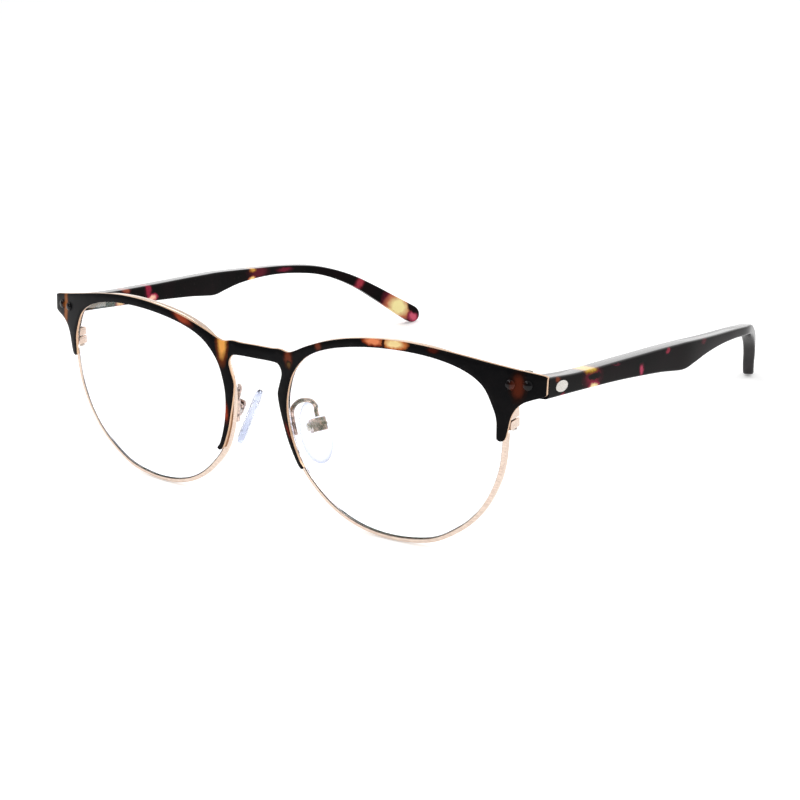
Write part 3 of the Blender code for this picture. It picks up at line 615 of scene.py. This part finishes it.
def makeAcetate(side):
    # tumbled and polished cellulose acetate: deep black-brown with crimson, amber and cream cloud
    # running right through the sheet, under a wet-looking gloss
    finish, add, shader, _, place = newFinish(f"tortoise acetate {side}")
    patches = {
        "left": [
            (13.6, 39.3, 1.5, 0.9, -9, "#2c0e0c", "#6e3018"),
            (15.3, 35.2, 1.3, 1.0, -9, "#4a0d1c", "#b4284c"),
            (27.0, 35.9, 4.8, 3.4, -9, "#2a0810", "#6a1226"),
            (26.6, 37.7, 3.3, 1.2, -9, "#7a4a14", "#dcb53c"),
            (27.5, 33.7, 2.6, 1.3, -9, "#8e2440", "#f0dca4"),
            (27.8, 35.8, 3.3, 0.8, -9, "#1a0a0b", "#0d0708"),
            (36.6, 35.9, 2.4, 0.4, -9, "#1c070c", "#4a1020"),
            (46.9, 31.9, 1.3, 1.8, 0, "#4a1020", "#ac3c58"),
            (58.3, 33.1, 1.5, 0.9, 0, "#35101a", "#8a2a3c"),
            (75.5, 31.0, 2.2, 1.0, 0, "#1d0a0d", "#4a1a22"),
        ],
        "right": [
            (27.6, 34.2, 2.2, 1.0, -9, "#7c1a30", "#e8b87c"),
            (30.0, 37.2, 2.2, 1.7, 0, "#3a101a", "#8e4834"),
            (38.4, 35.2, 1.9, 3.8, 0, "#300a14", "#8c2038"),
            (39.4, 32.6, 2.7, 1.4, 0, "#a02a48", "#f4bea8"),
            (86.0, 28.8, 6.0, 2.8, -8, "#240a10", "#561824"),
            (83.8, 30.0, 1.9, 1.0, -8, "#7a4420", "#c8923e"),
            (83.0, 27.5, 1.9, 0.9, -8, "#a0503a", "#e6c880"),
            (97.5, 27.0, 5.0, 1.0, -8, "#2a0c14", "#64182a"),
            (126.0, 17.0, 2.1, 3.8, -35, "#3c0e18", "#96303e"),
            (139.6, 7.2, 7.6, 5.2, -38, "#5a1626", "#b0485a"),
            (139.4, 6.5, 6.2, 4.6, -38, "#b86a4c", "#efe0a0"),
            (144.7, 2.0, 3.0, 2.0, -38, "#7a2238", "#c8586e"),
            (145.4, 5.4, 3.4, 2.5, -38, "#1a0c0e", "#0e0809"),
        ],
    }[side]
    clouds = addNoise(add, place, 6.0, 3.0)
    base = addRamp(add, clouds, [(0.35, "#080707"), (0.7, "#12090b")])
    colour = addPatches(add, place, base, patches, "yz", 1.4)
    rough = addRange(add, addNoise(add, place, 1.2), 0.14, 0.24)
    face = add("ShaderNodeSeparateXYZ", {"Vector": add("ShaderNodeNewGeometry").outputs["Normal"]})
    upwardSheen = addRange(add, face.outputs["Z"], 0.0, 0.6, 0.55, 0.9)      # painted highlight: the coat is strongest on faces that point up, so the upper edge catches the most reflection
    feed(shader, {"Base Color": colour, "Roughness": rough, "IOR": 1.48, "Specular IOR Level": 0.03,
                  "Coat Weight": upwardSheen, "Coat Roughness": 0.05})
    return finish


def letLampsThrough(add, shader, end):
    # clear things don't shade the floor: the renderer has no caustics
    shading = add("ShaderNodeLightPath").outputs["Is Shadow Ray"]
    feed(end, {"Surface": add("ShaderNodeMixShader", {
        "Fac": shading, 1: shader, 2: add("ShaderNodeBsdfTransparent")})})


def makeLensGlass():
    # hard-coated optical resin: clear and very faintly warm, with the violet glint of its coating
    finish, add, shader, end, place = newFinish("coated lens resin")
    tint = addRamp(add, addNoise(add, place, 9.0, 2.0), [(0.3, "#fdfcfd"), (0.7, "#fbfafc")])
    feed(shader, {"Base Color": tint, "Transmission Weight": 1.0, "Roughness": 0.0, "IOR": 1.5,
                  "Thin Film Thickness": 430.0, "Thin Film IOR": 1.38})
    letLampsThrough(add, shader, end)
    return finish


def makeSilicone(name, bend, clearness):
    # moulded clear soft plastic: watery and a little blue, with painted shade in a darker blue ring near its
    # edge for the outline a clear cushion shows
    finish, add, shader, end, place = newFinish(name)
    split = add("ShaderNodeSeparateXYZ", {"Vector": place})
    either = addMath(add, "ABSOLUTE", split.outputs["X"])
    folded = add("ShaderNodeCombineXYZ", {"X": either, "Y": split.outputs["Y"], "Z": split.outputs["Z"]})
    local = add("ShaderNodeMapping", {
        "Vector": folded, "Location": at(*padPlace(*pad["middle"])), "Rotation": padTurn.to_euler(),
        "Scale": (pad["width"] / 2 * mm, pad["length"] / 2 * mm, 1.0)}, vector_type="TEXTURE")
    reach = add("ShaderNodeVectorMath", {0: local}, operation="LENGTH")
    # painted shade: the colour grows darker and bluer towards the pad's edge
    tint = addRamp(add, reach.outputs["Value"], [
        (0.0, "#f9faff"), (0.8, "#f4f6ff"), (0.97, "#bac1d8")])
    feed(shader, {"Base Color": tint, "Transmission Weight": 1.0, "Roughness": 0.04, "IOR": bend,
                  "Alpha": clearness})
    addBump(add, shader, addNoise(add, place, 0.6), 0.05, 0.02)
    letLampsThrough(add, shader, end)
    return finish


lacquer = makeLacquer("tortoise lacquer on metal", 0.32, 0.05)
rivetLacquer = makeLacquer("tortoise lacquer on domed rivets", 0.12, 0.2)
plating = makePlating("polished champagne plating", "#e2d0c2", "#c9b3a4", 0.14, 0.25, 0.03)
brushedPlating = makePlating("brushed rose gold plating", "#e6c8aa", "#bc9272", 0.33, 0.12, 0.25)
# on the pad arms and clips the large light and dark blotches are painted reflection, standing in for dark
# surroundings mirrored in the metal
padPlatingPaintedReflection = makePlating("dulled champagne plating", "#e8d2c6", "#45353a", 0.08, 0.9, 0.05)
steel = makePlating("turned stainless steel", "#d4d0ca", "#b4afa8", 0.2, 0.2, 0.08)
hingeSteel = makePlating("oiled hinge steel", "#8f8b85", "#6a6660", 0.3, 0.2, 0.08)
acetate = {side: makeAcetate(side) for side in ("left", "right")}
lensResin = makeLensGlass()
silicone = makeSilicone("clear silicone", 1.25, 1.0)
padResin = makeSilicone("clear pad resin", 1.12, 0.35)
print("finishes ready")


# ---- brow plate

browPlate = {
    "thickness": 0.9,
    "edge": 0.18,             # rounding of its rims
    "step": 0.5,              # spacing of points along the outline
    "top": [(0, 38.9), (4.2, 38.9), (6.8, 39.1), (9.2, 38.8), (11.2, 39.4), (14.7, 41.0), (19.7, 42.8),
            (25.2, 44.2), (31.1, 45.05), (36.9, 45.35), (42.3, 45.2), (48.0, 44.6), (53.5, 43.75),
            (58.2, 42.9), (63.4, 41.95), (69.0, 40.95), (69.5, 40.4)],
    "lobe": [(69.5, 37.2), (69.0, 36.75), (67.3, 36.2), (65.5, 35.5), (64.4, 34.7), (63.5, 33.6),
             (62.8, 32.0), (62.4, 30.0), (61.95, 28.0), (61.5, 27.3), (60.7, 27.1), (60.1, 27.6)],
    "nasal": [(12.7, 13.1), (12.1, 12.6), (11.4, 12.9), (10.6, 14.2), (8.9, 18.1), (7.8, 21.9), (6.9, 25.5),
              (6.4, 28.4), (6.45, 29.8), (7.2, 32.1), (7.65, 33.9), (7.1, 35.3), (5.8, 36.0), (0, 36.0)],
    "openingEnds": (30.0, 13.9),
}
rim = {
    "line": [(61.2, 31.0), (60.4, 34.2), (57.9, 38.9), (53.3, 42.0), (46.5, 43.9), (38.0, 44.6), (29.0, 44.1),
             (20.5, 42.4), (14.3, 39.6), (10.2, 35.2), (8.3, 30.2), (7.8, 25.0), (8.8, 18.9), (11.2, 12.9),
             (14.7, 8.5), (19.3, 4.6), (24.5, 2.05), (30.5, 0.735), (37.0, 0.685), (44.3, 2.05), (50.4, 5.5),
             (54.8, 9.5), (58.2, 14.7), (60.4, 20.6), (61.2, 27.0)],
    "width": 1.1, "depth": 1.4, "corner": 0.32, "groove": 0.3,
    "lockGap": 2.6, "gap": 0.3,
}


def rimLine():
    return flowing(rim["line"], 12, closed=True) + [Vector(rim["line"][0])]


def rimDepth(x, z):
    # middle of the wire, front to back
    return frontDepth(x, z) + browPlate["thickness"] + rim["gap"] + rim["depth"] / 2


def browOutline():
    upper, lower = browPlate["openingEnds"]
    opening = inset(evenly(rimLine(), browPlate["step"])[:-1], rim["width"])
    nasalEnd = next(i for i, p in enumerate(opening) if p.x < 20 and p.y < lower)
    opening = [p for p in opening[:nasalEnd] if p.y > upper or p.x < 20]
    top, lobe, nasal = [flowing(browPlate[part], 6) for part in ("top", "lobe", "nasal")]
    half = evenly([p for p in top + lobe + opening + nasal if p.x > 0.2], browPlate["step"])
    return half + [Vector((-p.x, p.y)) for p in reversed(half)]


def makeBrowPlate():
    # lacquered in front, bare plating on its edges and behind
    rims = softRims(browPlate["edge"], 0.0, browPlate["thickness"])
    rings = [(*ring, colour) for ring, colour in zip(rims, (0, 0, 1, 1, 1, 1))]
    mesh = curvedSheet(browOutline(), rings, 0.9)
    addPiece("browPlate", mesh, "front", ["brow_plate"], [lacquer, brushedPlating], 50)


makeBrowPlate()
print("brow plate made")


# ---- rims, lenses and what closes them

def makeRims():
    # laid flat for the sweep: x, height, minus depth
    places = [at(x, rimDepth(x, z), z) for x, z in evenly(rimLine(), 0.7, rim["lockGap"], rim["lockGap"])]
    laid = [(place.x, place.z, -place.y) for place in places]
    sizes = {label: rim[label.lower()] * mm for label in ("Width", "Depth", "Corner", "Groove")}
    mesh = runTree(rimTree, pathMesh(laid), sizes, plating)
    addPair("RimWire", mesh, "front", "rim_wire", [plating])


lens = {"thickness": 1.05, "bevel": 0.2, "seat": 0.42}    # seat is how far its edge is from the wire's middle


def makeLenses():
    outline = inset(evenly(rimLine(), 0.8)[:-1], lens["seat"])
    front = browPlate["thickness"] + rim["gap"] + (rim["depth"] - lens["thickness"]) / 2
    back, bevel = front + lens["thickness"], lens["bevel"]
    rings = [(bevel, front, 0), (0.0, front + 2 * bevel, 0), (0.0, back - 2 * bevel, 0), (bevel, back, 0)]
    mesh = curvedSheet(outline, rings, 2.2)
    addPair("Lens", mesh, "front", "lens", [lensResin], 25)


makeRims()
makeLenses()
print("rims and lenses made")

closing = {"x": 61.75, "z": 31.1, "height": 1.85, "width": 1.5, "depth": 3.4, "setBack": 1.3,
           "screwBack": 0.4, "corner": 0.25}


def makeScrew(headRadius, shankRadius, shankLength, slotWidth, slotDepth, sides=32):
    # its axis is Z, from the foot of the shank at height 0 to the crown of the slotted head
    top, edge = shankLength + 0.5, 0.12
    screw = turned([
        (0, 0), (shankRadius - 0.08, 0), (shankRadius, 0.08), (shankRadius, shankLength),
        (headRadius - 0.06, shankLength), (headRadius, shankLength + 0.06), (headRadius, top - 2 * edge),
        (headRadius - 0.4 * edge, top - 0.9 * edge), (headRadius - 1.4 * edge, top - 0.3 * edge),
        (headRadius * 0.5, top), (0, top + 0.02)], (0, 0, 1), (0, 0, 0), sides)
    blade = slab(roundedRect(4.0, slotWidth, 0.04, 2), top - slotDepth, top + 1.0, 0.02, unturned, (0, 0, 0))
    return atOrigin(combined(screw, "DIFFERENCE", blade))


def bothSides(place, axis):
    mirrored = Vector((-1, 1, 1))
    return [(place, Vector(axis)), (Vector(place) * mirrored, Vector(axis) * mirrored)]


def addScrews(name, node, screw, foot, axis):
    mesh = fasteners(screw, bothSides(foot, axis), name, steel)
    addPiece(name, mesh, "front", [f"left_{node}", f"right_{node}"], [steel])


def makeClosings():
    middleY = rimDepth(closing["x"], closing["z"]) + closing["setBack"]
    screwY = middleY + closing["screwBack"]
    shape = roundedRect(closing["width"], closing["depth"], closing["corner"])
    bore = rod(0.48, 6, (0, 0, 1), (closing["x"], screwY, closing["z"]), 20)
    for name, direction in (("Upper", 1), ("Lower", -1)):
        z = closing["z"] + direction * (closing["height"] + rim["gap"]) / 2
        block = slab(shape, -closing["height"] / 2, closing["height"] / 2, 0.18, unturned,
                     (closing["x"], middleY, z))
        block = combined(block, "DIFFERENCE", bore.copy())
        node = f"closing_block_{name.lower()}"
        addPair(f"ClosingBlock{name}", block, "front", node, [plating])
    reach = closing["height"] + rim["gap"] / 2
    screw = makeScrew(0.7, 0.36, 2 * reach + 0.1, 0.2, 0.22, 28)
    foot = (closing["x"], screwY, closing["z"] + reach)      # the driver goes in from below
    addScrews("rimScrews", "rim_screw", screw, foot, (0, 0, -1))


makeClosings()

rivets = {"places": (62.6, 66.0), "height": 39.0, "headRadius": 1.05, "domeHeight": 0.5, "shankRadius": 0.58}


def makeRivets():
    # domed heads in front, shanks through plate and hinge leaf, peened tails behind
    radius, dome, shank = rivets["headRadius"], rivets["domeHeight"], rivets["shankRadius"]
    behind = browPlate["thickness"] + rim["gap"] + 0.8
    profile = [(0, -0.1 - dome)]
    for step in range(1, 9):
        turn = math.radians(90) * step / 8
        profile.append((radius * math.sin(turn), -0.1 - dome * math.cos(turn)))
    profile += [(radius, -0.02), (shank, -0.02), (shank, behind + 0.07), (0.72, behind + 0.07),
                (0.7, behind + 0.16), (0.5, behind + 0.22), (0, behind + 0.24)]
    shape = atOrigin(turned(profile, (0, 0, 1), (0, 0, 0), 32))
    places, nodes = [], []
    for x, name in zip(rivets["places"], ("inner", "outer")):
        places += bothSides(onFront(x, rivets["height"]), squareToFront(x, rivets["height"]))
        nodes += [f"left_{name}_rivet", f"right_{name}_rivet"]
    mesh = fasteners(shape, places, "rivets", rivetLacquer)
    addPiece("rivets", mesh, "front", nodes, [rivetLacquer])


makeRivets()
print("closings and rivets made")


# ---- nose pads and their arms

def padShape():
    # a soft drop-shaped cushion, fuller at its lower end
    shell = bmesh.new()
    middle = padPlace(*pad["middle"])
    rows, sides, loops = 18, 56, []
    for row in range(rows + 1):
        turn = math.pi * (row / rows - 0.5)
        spread = max(math.cos(turn), 0.0) ** 0.38
        lift = math.copysign(abs(math.sin(turn)) ** 0.7, turn) * pad["thickness"] / 2
        loop = []
        for i in range(sides):
            angle = 2 * math.pi * i / sides
            u, v = math.cos(angle), math.sin(angle)
            full = 0.93 + 0.07 * v
            spot = Vector((u * full * pad["width"] / 2 * spread, v * pad["length"] / 2 * spread, lift))
            loop.append(shell.verts.new(at(*(middle + padTurn @ spot))))
            if row in (0, rows):
                break
        loops.append(loop)
    joinRings(shell, loops)
    return toMesh(shell)


def makePads():
    addPair("NosePad", padShape(), "left_pad", "nose_pad", [silicone], 60)
    width, length, thickness = pad["insert"]
    plate = slab(oval(width, length), -thickness / 2, thickness / 2, 0.12, padTurn, padPlace(*pad["middle"]))
    stem = slab(roundedRect(1.5, 1.5, 0.3), -1.2, 1.2, 0.1, padTurn, padPlace(0, 0, -1.6))
    eye = barrel(1.0, 0.45, 1.5, 0.15, padAcross, padPlace(0, 0, 0))
    insert = combined(plate, "UNION", stem, eye)
    insert = combined(insert, "DIFFERENCE", rod(0.45, 3, padAcross, padPlace(0, 0, 0), 24))
    addPair("PadInsert", insert, "left_pad", "pad_insert", [padResin])


def makePadArms():
    # the wire from the rim, the clip on its end and the screw through the clip
    footClear = rim["depth"] / 2 + rim["gap"] + 0.5
    foot = [(x, rimDepth(x, z) + footClear + more, z)
            for x, z, more in ((8.75, 19.2, 0.0), (8.15, 22.4, 0.0), (8.1, 25.0, 0.1))]
    bend = [(8.7, 6.9, 26.35), (9.7, 8.0, 26.6), (10.8, 9.0, 26.2), (11.4, 9.5, 25.0)]
    end = [tuple(padPlace(-2.9, 0, 1.4)), tuple(padPlace(-1.8, 0, 1.5))]
    path = [at(*p) for p in evenly(flowing(foot + bend + end, 10), 0.25)]
    mesh = runTree(wireTree, pathMesh(path), {"Radius": 0.5 * mm}, padPlatingPaintedReflection)
    addPair("PadArm", mesh, "front", "pad_arm", [padPlatingPaintedReflection])

    earThickness, halfGap = 0.6, 1.05
    side = Matrix((pad["down"], padOut, padAcross)).transposed()     # plates square to the screw
    ears = []
    for direction in (1, -1):
        across = direction * (halfGap + earThickness / 2)
        ears.append(slab(roundedRect(3.0, 2.7, 0.9, 8), -earThickness / 2, earThickness / 2, 0.12, side,
                         padPlace(0, across, 0.25)))
    base = slab(roundedRect(2 * (halfGap + earThickness), 3.0, 0.3), -0.3, 0.3, 0.14, padTurn,
                padPlace(0, 0, 1.55))
    clip = combined(base, "UNION", *ears)
    clip = combined(clip, "DIFFERENCE", rod(0.5, 6, padAcross, padPlace(0, 0, 0), 28))
    addPair("PadBox", clip, "front", "pad_box", [padPlatingPaintedReflection])

    screw = makeScrew(0.95, 0.38, 4.2, 0.22, 0.26)
    addScrews("padScrews", "pad_screw", screw, padPlace(0, 2.3, 0), -padAcross)


makePads()
makePadArms()
print("nose pads made")


# ---- temples

temple = {
    # distance back, outer face, lower edge, upper edge
    "line": [(5.0, 69.25, 36.8, 41.4), (12.0, 69.5, 35.7, 40.1), (23.0, 70.0, 34.1, 38.1),
             (39.0, 71.0, 31.7, 36.15), (55.0, 72.3, 28.9, 34.35), (61.0, 72.8, 27.6, 33.65),
             (66.5, 73.3, 26.5, 32.95), (71.0, 73.6, 26.75, 32.3), (78.0, 73.75, 27.2, 31.2),
             (87.0, 73.65, 26.9, 29.8), (96.0, 73.4, 25.9, 28.4), (105.0, 72.7, 24.2, 26.7),
             (112.0, 71.0, 22.4, 25.0), (119.0, 68.8, 19.3, 22.4), (126.0, 66.6, 15.1, 18.9),
             (133.0, 64.1, 9.6, 14.5), (140.0, 61.3, 3.7, 9.6), (149.0, 58.0, -3.5, 3.5)],
    "thickness": (3.8, 3.0), "thinsFrom": 60.0, "tip": 147.6, "tipRound": 3.0, "slope": -0.155,
    "corner": 0.62,           # rounding of its long edges
    "ringStep": 1.2,
}
templeFlow = flowing(temple["line"], 8)
hinge = {
    "x": hingeAt.x, "y": 11.2, "z": hingeAt.z, "leafHeight": 3.4, "leafThickness": 0.8, "knuckle": 1.2,
    "bore": 0.56, "pin": 0.5, "gap": 0.2, "plate": (12.95, 21.5, 2.4), "plateX": (65.0, 65.9),
}


def templeEdges(y):
    for a, b in zip(templeFlow, templeFlow[1:]):
        if a[0] <= y <= b[0]:
            return a.lerp(b, (y - a[0]) / (b[0] - a[0]))[1:]
    return templeFlow[-1][1:]


def templeThickness(y):
    thick, thin = temple["thickness"]
    share = min(max((y - temple["thinsFrom"]) / (temple["tip"] - temple["thinsFrom"]), 0.0), 1.0)
    return thick + (thin - thick) * share


def templeCentre(y):
    outer, low, high = templeEdges(y)
    return Vector((outer - templeThickness(y) / 2, y, (low + high) / 2))


def templeRing(y, shrink):
    along = (templeCentre(y + 0.6) - templeCentre(y - 0.6)).normalized()
    across = along.cross(Vector((0, 0, 1))).normalized()
    up = across.cross(along)
    _, low, high = templeEdges(y)
    width = templeThickness(y) * (0.55 + 0.45 * shrink)
    height = max((high - low) * up.z * shrink, 0.3)
    corner = min(temple["corner"], 0.45 * height, 0.45 * width)
    return [templeCentre(y) + across * p.x + up * p.y for p in roundedRect(width, height, corner, 5)]


def templeBody():
    start, tip, tipRound, ringStep = 6.0, temple["tip"], temple["tipRound"], temple["ringStep"]
    count = int((tip - tipRound - start) / ringStep) + 1
    rings = [templeRing(start + ringStep * i, 1.0) for i in range(count)]
    for step in range(1, 10):
        share = math.sin(math.radians(90) * step / 9.3)
        rings.append(templeRing(tip - tipRound * (1 - share), math.sqrt(1 - share * share)))
    shell = bmesh.new()
    joinRings(shell, [[shell.verts.new(at(*p)) for p in ring] for ring in rings], capped=True)
    return toMesh(shell)


def leafTurn():
    square = squareToFront(hinge["x"], rivets["height"])
    along = Vector((square.y, -square.x, 0)).normalized()
    return Matrix((along, square, along.cross(square))).transposed()


def block(centre, size, turn, corner=0.1):
    # a rounded block: size along the turn's own X, Y and Z
    width, depth, height = size
    return slab(roundedRect(width, depth, min(corner, 0.4 * depth)), -height / 2, height / 2,
                min(corner, 0.3 * height), turn, centre)


def leafPlate(extra):
    start, end, height = hinge["plate"]
    low, high = hinge["plateX"]
    middle = (start + end) / 2
    slope = axes((1, 0, 0), (0, -temple["slope"], 1))
    return block(((low + high) / 2, middle, templeCentre(middle).z),
                 (high - low + 2 * extra, end - start + 2 * extra, height + 2 * extra), slope)


def knuckleHeights():
    low, high = hinge["z"] - hinge["leafHeight"] / 2, hinge["z"] + hinge["leafHeight"] / 2
    length = (hinge["leafHeight"] - 2 * hinge["gap"]) / 3
    return (low + length / 2, length), (hinge["z"], length), (high - length / 2, length)


def leafWeb(extra):
    z, length = knuckleHeights()[1]
    low, high = hinge["x"], hinge["plateX"][1]
    start, end = hinge["y"], hinge["plate"][0] + 0.4
    return block(((low + high) / 2, (start + end) / 2, z),
                 (high - low + 2 * extra, end - start + 2 * extra, length + 2 * extra), unturned, 0.05)


def makeTemples():
    body = templeBody()
    turn = leafTurn()
    square = turn.col[1]

    def behindPlate(x, clearance):
        back = browPlate["thickness"] / squareToFront(x, hinge["z"]).y
        return onFront(x, hinge["z"]) + Vector((0, back, 0)) + square * (clearance - wasteDepth / 2)

    # the front end is cut to clear the brow plate, the hinge leaf and the rivets
    wasteDepth = 12.0
    plateFace = behindPlate(67.6, rim["gap"] + 0.1)
    leafFace = behindPlate(hinge["x"], 2 * rim["gap"] + hinge["leafThickness"] + 0.25)
    body = combined(body, "DIFFERENCE", block(plateFace, (30.0, wasteDepth, 20.0), turn, 0.02),
                    block(leafFace, (6.9, wasteDepth, 12.0), turn, 0.02))
    body = combined(body, "DIFFERENCE", leafPlate(0.06), leafWeb(0.25))
    addPair("Temple", body, "left_temple", "temple", {s: [acetate[s]] for s in acetate}, 50)


makeTemples()
print("temples made")

core = {"start": 13.5, "end": 127.0, "radius": 0.4, "ribs": 10, "anchor": (7.2, 16.4),
        "rib": (1.0, 0.45, 2.2)}
emblem = {"back": 15.0, "halfLength": 2.3, "halfHeight": 1.2, "thickness": 0.45, "proud": 0.08}


def makeCores():
    path = [at(*templeCentre(core["start"] + 1.5 * i))
            for i in range(int((core["end"] - core["start"]) / 1.5) + 1)]
    sizes = {"Radius": core["radius"] * mm, "Ribs": core["ribs"], "Anchor Start": core["anchor"][0] * mm,
             "Anchor End": core["anchor"][1] * mm, "Rib Size": [size * mm for size in core["rib"]]}
    mesh = runTree(coreTree, pathMesh(path), sizes, steel)
    addPair("TempleCore", mesh, "left_temple", "temple_core", [steel])


def makeEmblems():
    # a plain oval inlay
    back, thickness = emblem["back"], emblem["thickness"]
    turn = axes((1, -0.04, 0), (0, -temple["slope"], 1)) @ Matrix.Rotation(math.radians(90), 3, "Y")
    centre = (templeEdges(back)[0] + emblem["proud"] - thickness / 2, back, templeCentre(back).z)
    outline = oval(2 * emblem["halfHeight"], 2 * emblem["halfLength"])
    mesh = slab(outline, -thickness / 2, thickness / 2, 0.14, turn, centre)
    addPair("TempleEmblem", mesh, "left_temple", "temple_emblem", [steel])


def knuckle(z, length):
    radius, half, edge = hinge["knuckle"], length / 2, 0.1
    return turned([(0, -half), (radius - edge, -half), (radius, -half + edge), (radius, half - edge),
                   (radius - edge, half), (0, half)], (0, 0, 1), (hinge["x"], hinge["y"], z))


def makeHinges():
    behind = browPlate["thickness"] + rim["gap"] + hinge["leafThickness"] / 2
    centre = onFront(hinge["x"], hinge["z"]) + squareToFront(hinge["x"], rivets["height"]) * behind
    leaf = block(centre, (6.0, hinge["leafThickness"], hinge["leafHeight"]), leafTurn(), 0.2)
    holes = []
    for x in rivets["places"]:
        axis = squareToFront(x, rivets["height"])
        holes.append(rod(0.75, 3, axis, onFront(x, rivets["height"]) + axis * behind, 24))
    leaf = combined(leaf, "DIFFERENCE", *holes)
    lower, middle, upper = knuckleHeights()
    webDepth = hinge["y"] - centre.y
    for z, length in (lower, upper):
        web = block((hinge["x"] - 0.2, centre.y + webDepth / 2, z), (1.0, webDepth, length), unturned, 0.06)
        leaf = combined(leaf, "UNION", web, knuckle(z, length))
    pinHole = rod(hinge["bore"], 6, (0, 0, 1), (hinge["x"], hinge["y"], hinge["z"]))
    leaf = combined(leaf, "DIFFERENCE", pinHole.copy())
    addPair("HingeFrontLeaf", leaf, "front", "hinge_front_leaf", [hingeSteel])

    leaf = combined(leafPlate(0.0), "UNION", leafWeb(0.0), knuckle(*middle))
    leaf = combined(leaf, "DIFFERENCE", pinHole)
    addPair("HingeTempleLeaf", leaf, "left_temple", "hinge_temple_leaf", [hingeSteel])

    screw = makeScrew(1.0, hinge["pin"], hinge["leafHeight"] + 0.2, 0.25, 0.28)
    foot = (hinge["x"], hinge["y"], hinge["z"] - hinge["leafHeight"] / 2 - 0.05)
    addScrews("hingeScrews", "hinge_screw", screw, foot, (0, 0, 1))


makeCores()
makeEmblems()
makeHinges()
print("hinges, cores and emblems made")


# ---- floor, light and camera

studio = {"floorSize": 12.0, "floorColour": "#fbfbfb", "keyPower": 2.2, "skyHigh": 1.0, "skyLow": 0.62,
          "backGlow": 1.3, "floorLift": 0.3, "glintPower": 0.3}     # floorLift: the sweep glows a little


def makeFloor():
    mesh = bpy.data.meshes.new("floor")
    half = studio["floorSize"] / 2
    corners = ((-1, -1), (1, -1), (1, 1), (-1, 1))
    mesh.from_pydata([(x * half, y * half, 0) for x, y in corners], [], [range(4)])
    finish, add, shader, _, place = newFinish("pale matt floor")
    tint = addRamp(add, addNoise(add, place, 400.0), [
        (0.3, studio["floorColour"]), (0.7, "#fdfdfd")])
    feed(shader, {"Base Color": tint, "Roughness": 0.9, "Specular IOR Level": 0.1,
                  "Emission Color": (1, 1, 1, 1), "Emission Strength": studio["floorLift"]})
    mesh.materials.append(finish)
    floor = newObject("floor", mesh)
    floor.location.z = -0.0001


def makeWorld():
    # a white studio, brightest low down behind the glasses, dimmer behind the camera
    world = bpy.data.worlds.new("studio")
    world.use_nodes = True
    world.node_tree.nodes.clear()
    add = nodeMaker(world.node_tree)
    split = add("ShaderNodeSeparateXYZ", {"Vector": add("ShaderNodeTexCoord").outputs["Generated"]})
    _, back, up = split.outputs
    high = addRange(add, up, studio["skyLow"], studio["skyHigh"], 0.0, 0.8)
    side = addRange(add, back, 0.1, 1.0, -0.8, 0.2)
    behind = addRange(add, back, 0.0, 1.0, 0.45, 0.8)
    low = addRange(add, up, 1.0, 0.0, 0.2, 0.5)
    glow = addMath(add, "MULTIPLY", behind, low)
    plain = addMath(add, "MULTIPLY", high, side)
    power = addMath(add, "MULTIPLY_ADD", glow, studio["backGlow"], plain)
    sky = add("ShaderNodeBackground", {"Color": (1, 1, 1, 1), "Strength": power})
    add("ShaderNodeOutputWorld", {"Surface": sky})
    bpy.context.scene.world = world


def addSoftbox(name, place, target, size, power):
    light = bpy.data.lights.new(name, "AREA")
    light.shape = "RECTANGLE"
    light.size, light.size_y = size
    light.energy = power
    lamp = newObject(name, light)
    lamp.location = place
    lamp.rotation_euler = (Vector(target) - Vector(place)).to_track_quat("-Z", "Y").to_euler()


def makeCamera():
    azimuth, elevation, roll = math.radians(35.67), math.radians(19.24), math.radians(-2.32)
    back = Vector((math.sin(azimuth) * math.cos(elevation), -math.cos(azimuth) * math.cos(elevation),
                   math.sin(elevation)))
    right = Matrix.Rotation(roll, 3, back) @ Vector((math.cos(azimuth), math.sin(azimuth), 0.0))
    data = bpy.data.cameras.new("camera")
    data.lens = 63.28
    data.sensor_width = 36.0
    camera = newObject("camera", data)
    turn = Matrix((right, back.cross(right), back)).transposed()
    camera.matrix_world = Matrix.Translation(at(197.07, -217.71, 127.75)) @ turn.to_4x4()
    bpy.context.scene.camera = camera


makeFloor()
makeWorld()
addSoftbox("keyLight", (-0.35, -0.25, 0.7), (0, 0, 0.02), (0.6, 0.4), studio["keyPower"])
addSoftbox("rimLight", (0.5, 0.45, 0.5), (0.03, 0, 0.03), (0.5, 0.3), studio["keyPower"] * 0.5)
addSoftbox("glint", (0.02, -0.5, 0.32), (0.03, -0.06, 0.03), (0.06, 0.06), studio["glintPower"])
makeCamera()
bpy.context.scene.view_settings.view_transform = "Standard"
print("studio ready")
